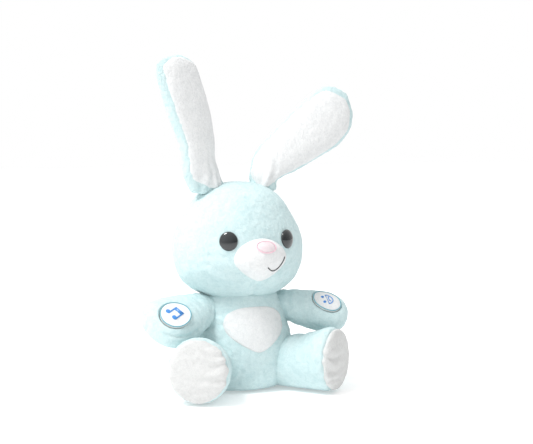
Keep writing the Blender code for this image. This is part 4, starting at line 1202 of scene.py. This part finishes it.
def ear_rows(name):
    """Centre, width direction, normal, half width and half thickness of each row up an ear."""
    setup = EARS[name]
    turn = setup["turn"]
    normal = Vector((math.sin(turn), -math.cos(turn), 0.0))
    sideways = Vector((math.cos(turn), math.sin(turn), 0.0))
    rows = []
    for x, z, tilt, half_width, half_thick in smooth_rows(setup["levels"], LEVELS_BETWEEN):
        angle = math.radians(tilt)
        width = sideways * math.cos(angle) + UP * math.sin(angle)
        rows.append((Vector((x, EAR_Y, z)), width, normal, half_width, half_thick))
    return rows


def make_ear_back(name, side, rows):
    """Flat stuffed ear with folds at its base, and the tree of its surface before the pile."""
    rings = []
    for centre, width, normal, half_width, half_thick in rows:
        rings.append(ellipse(centre, width * (half_width - EAR_SLACK), normal * -half_thick, 44))
    ear = add_piece(name + "_ear_back", loft(rings), AQUA)
    stuff(ear, 1.8 * MM, 3.0, 3.0 * MM)
    refine(ear, 2)
    base, width = rows[FOLD_ROW][:2]
    wrinkle(ear, base, 0.020, width, 0.011, 1.0 * MM, side)
    tree = tree_of(ear)
    nap(ear, seed=20.0 + side)
    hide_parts(name + "_ear")
    return ear, tree


def make_ear_front(name, side, rows, tree):
    """White lining laid on the front of the ear, drawn in at both its ends."""
    low_edge, high_edge = EARS[name]["lining"]
    middle = (low_edge + high_edge) / 2.0
    lined = rows[LINING_MARGIN:-LINING_MARGIN]
    rings = []
    for (centre, width, normal, half_width, _), share in zip(lined, np.linspace(0.0, 1.0, len(lined))):
        drawn_in = min(1.0, 0.35 + 5.0 * share, 0.42 + 4.0 * (1.0 - share))
        span = (high_edge - low_edge) / 2.0 * drawn_in
        front = []
        back = []
        for column in np.linspace(-1.0, 1.0, LINING_COLUMNS):
            spot = centre + width * half_width * (middle + span * column)
            crown = 0.9 * MM * (1.0 - column ** 4) - 0.5 * MM * column ** 8
            hit = on_surface(tree, spot + normal * 0.02, -normal, 0.0)
            front.append(hit + normal * (0.5 * MM + crown))
            back.append(hit - normal * 1.2 * MM)
        rings.append(front + back[::-1])
    lining = add_piece(name + "_ear_front", loft(rings), WHITE)
    refine(lining, 1)
    base, width = rows[FOLD_ROW][:2]
    wrinkle(lining, base, 0.018, width, 0.013, 0.35 * MM, side)
    nap(lining, 0.40 * MM, 3.0 * MM, 22.0 + side)
    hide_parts(name + "_ear_lining")
    return lining


def make_ear(name, side):
    """Ear and lining, sewn to the head, with their placement baked into their meshes; neither rides on the
    ear drive.
    """
    rows = ear_rows(name)
    ear, tree = make_ear_back(name, side, rows)
    lining = make_ear_front(name, side, rows, tree)
    for piece in (ear, lining):
        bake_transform(piece)


# ---- carried-over solids

def paint_nodes():
    """Give each CAD node the look of its slot in the record, with crisp edges kept."""
    slots = {entry["node"]: entry["material_slot"] for entry in frame["record"]["subparts"]}
    for node, piece in frame["nodes"].items():
        piece.data.materials.clear()
        piece.data.materials.append(SLOT_LOOKS[slots[node]])
        piece.data.shade_smooth()
        piece.data.set_sharp_from_angle(angle=math.radians(35.0))


# ---- the whole rabbit

make_camera()
make_key_light()
make_sky()
make_floor()
head_skin = make_head()
body_skin = make_body()
make_face(head_skin)
make_belly(body_skin)
make_tail()
for arm_name, arm_side in SIDES:
    make_paw(arm_name, arm_side, make_arm(arm_name, arm_side))
for leg_name, leg_side in SIDES:
    make_leg(leg_name, leg_side)
    make_sole(leg_name, leg_side)
for ear_name, ear_side in SIDES:
    make_ear(ear_name, ear_side)
paint_nodes()
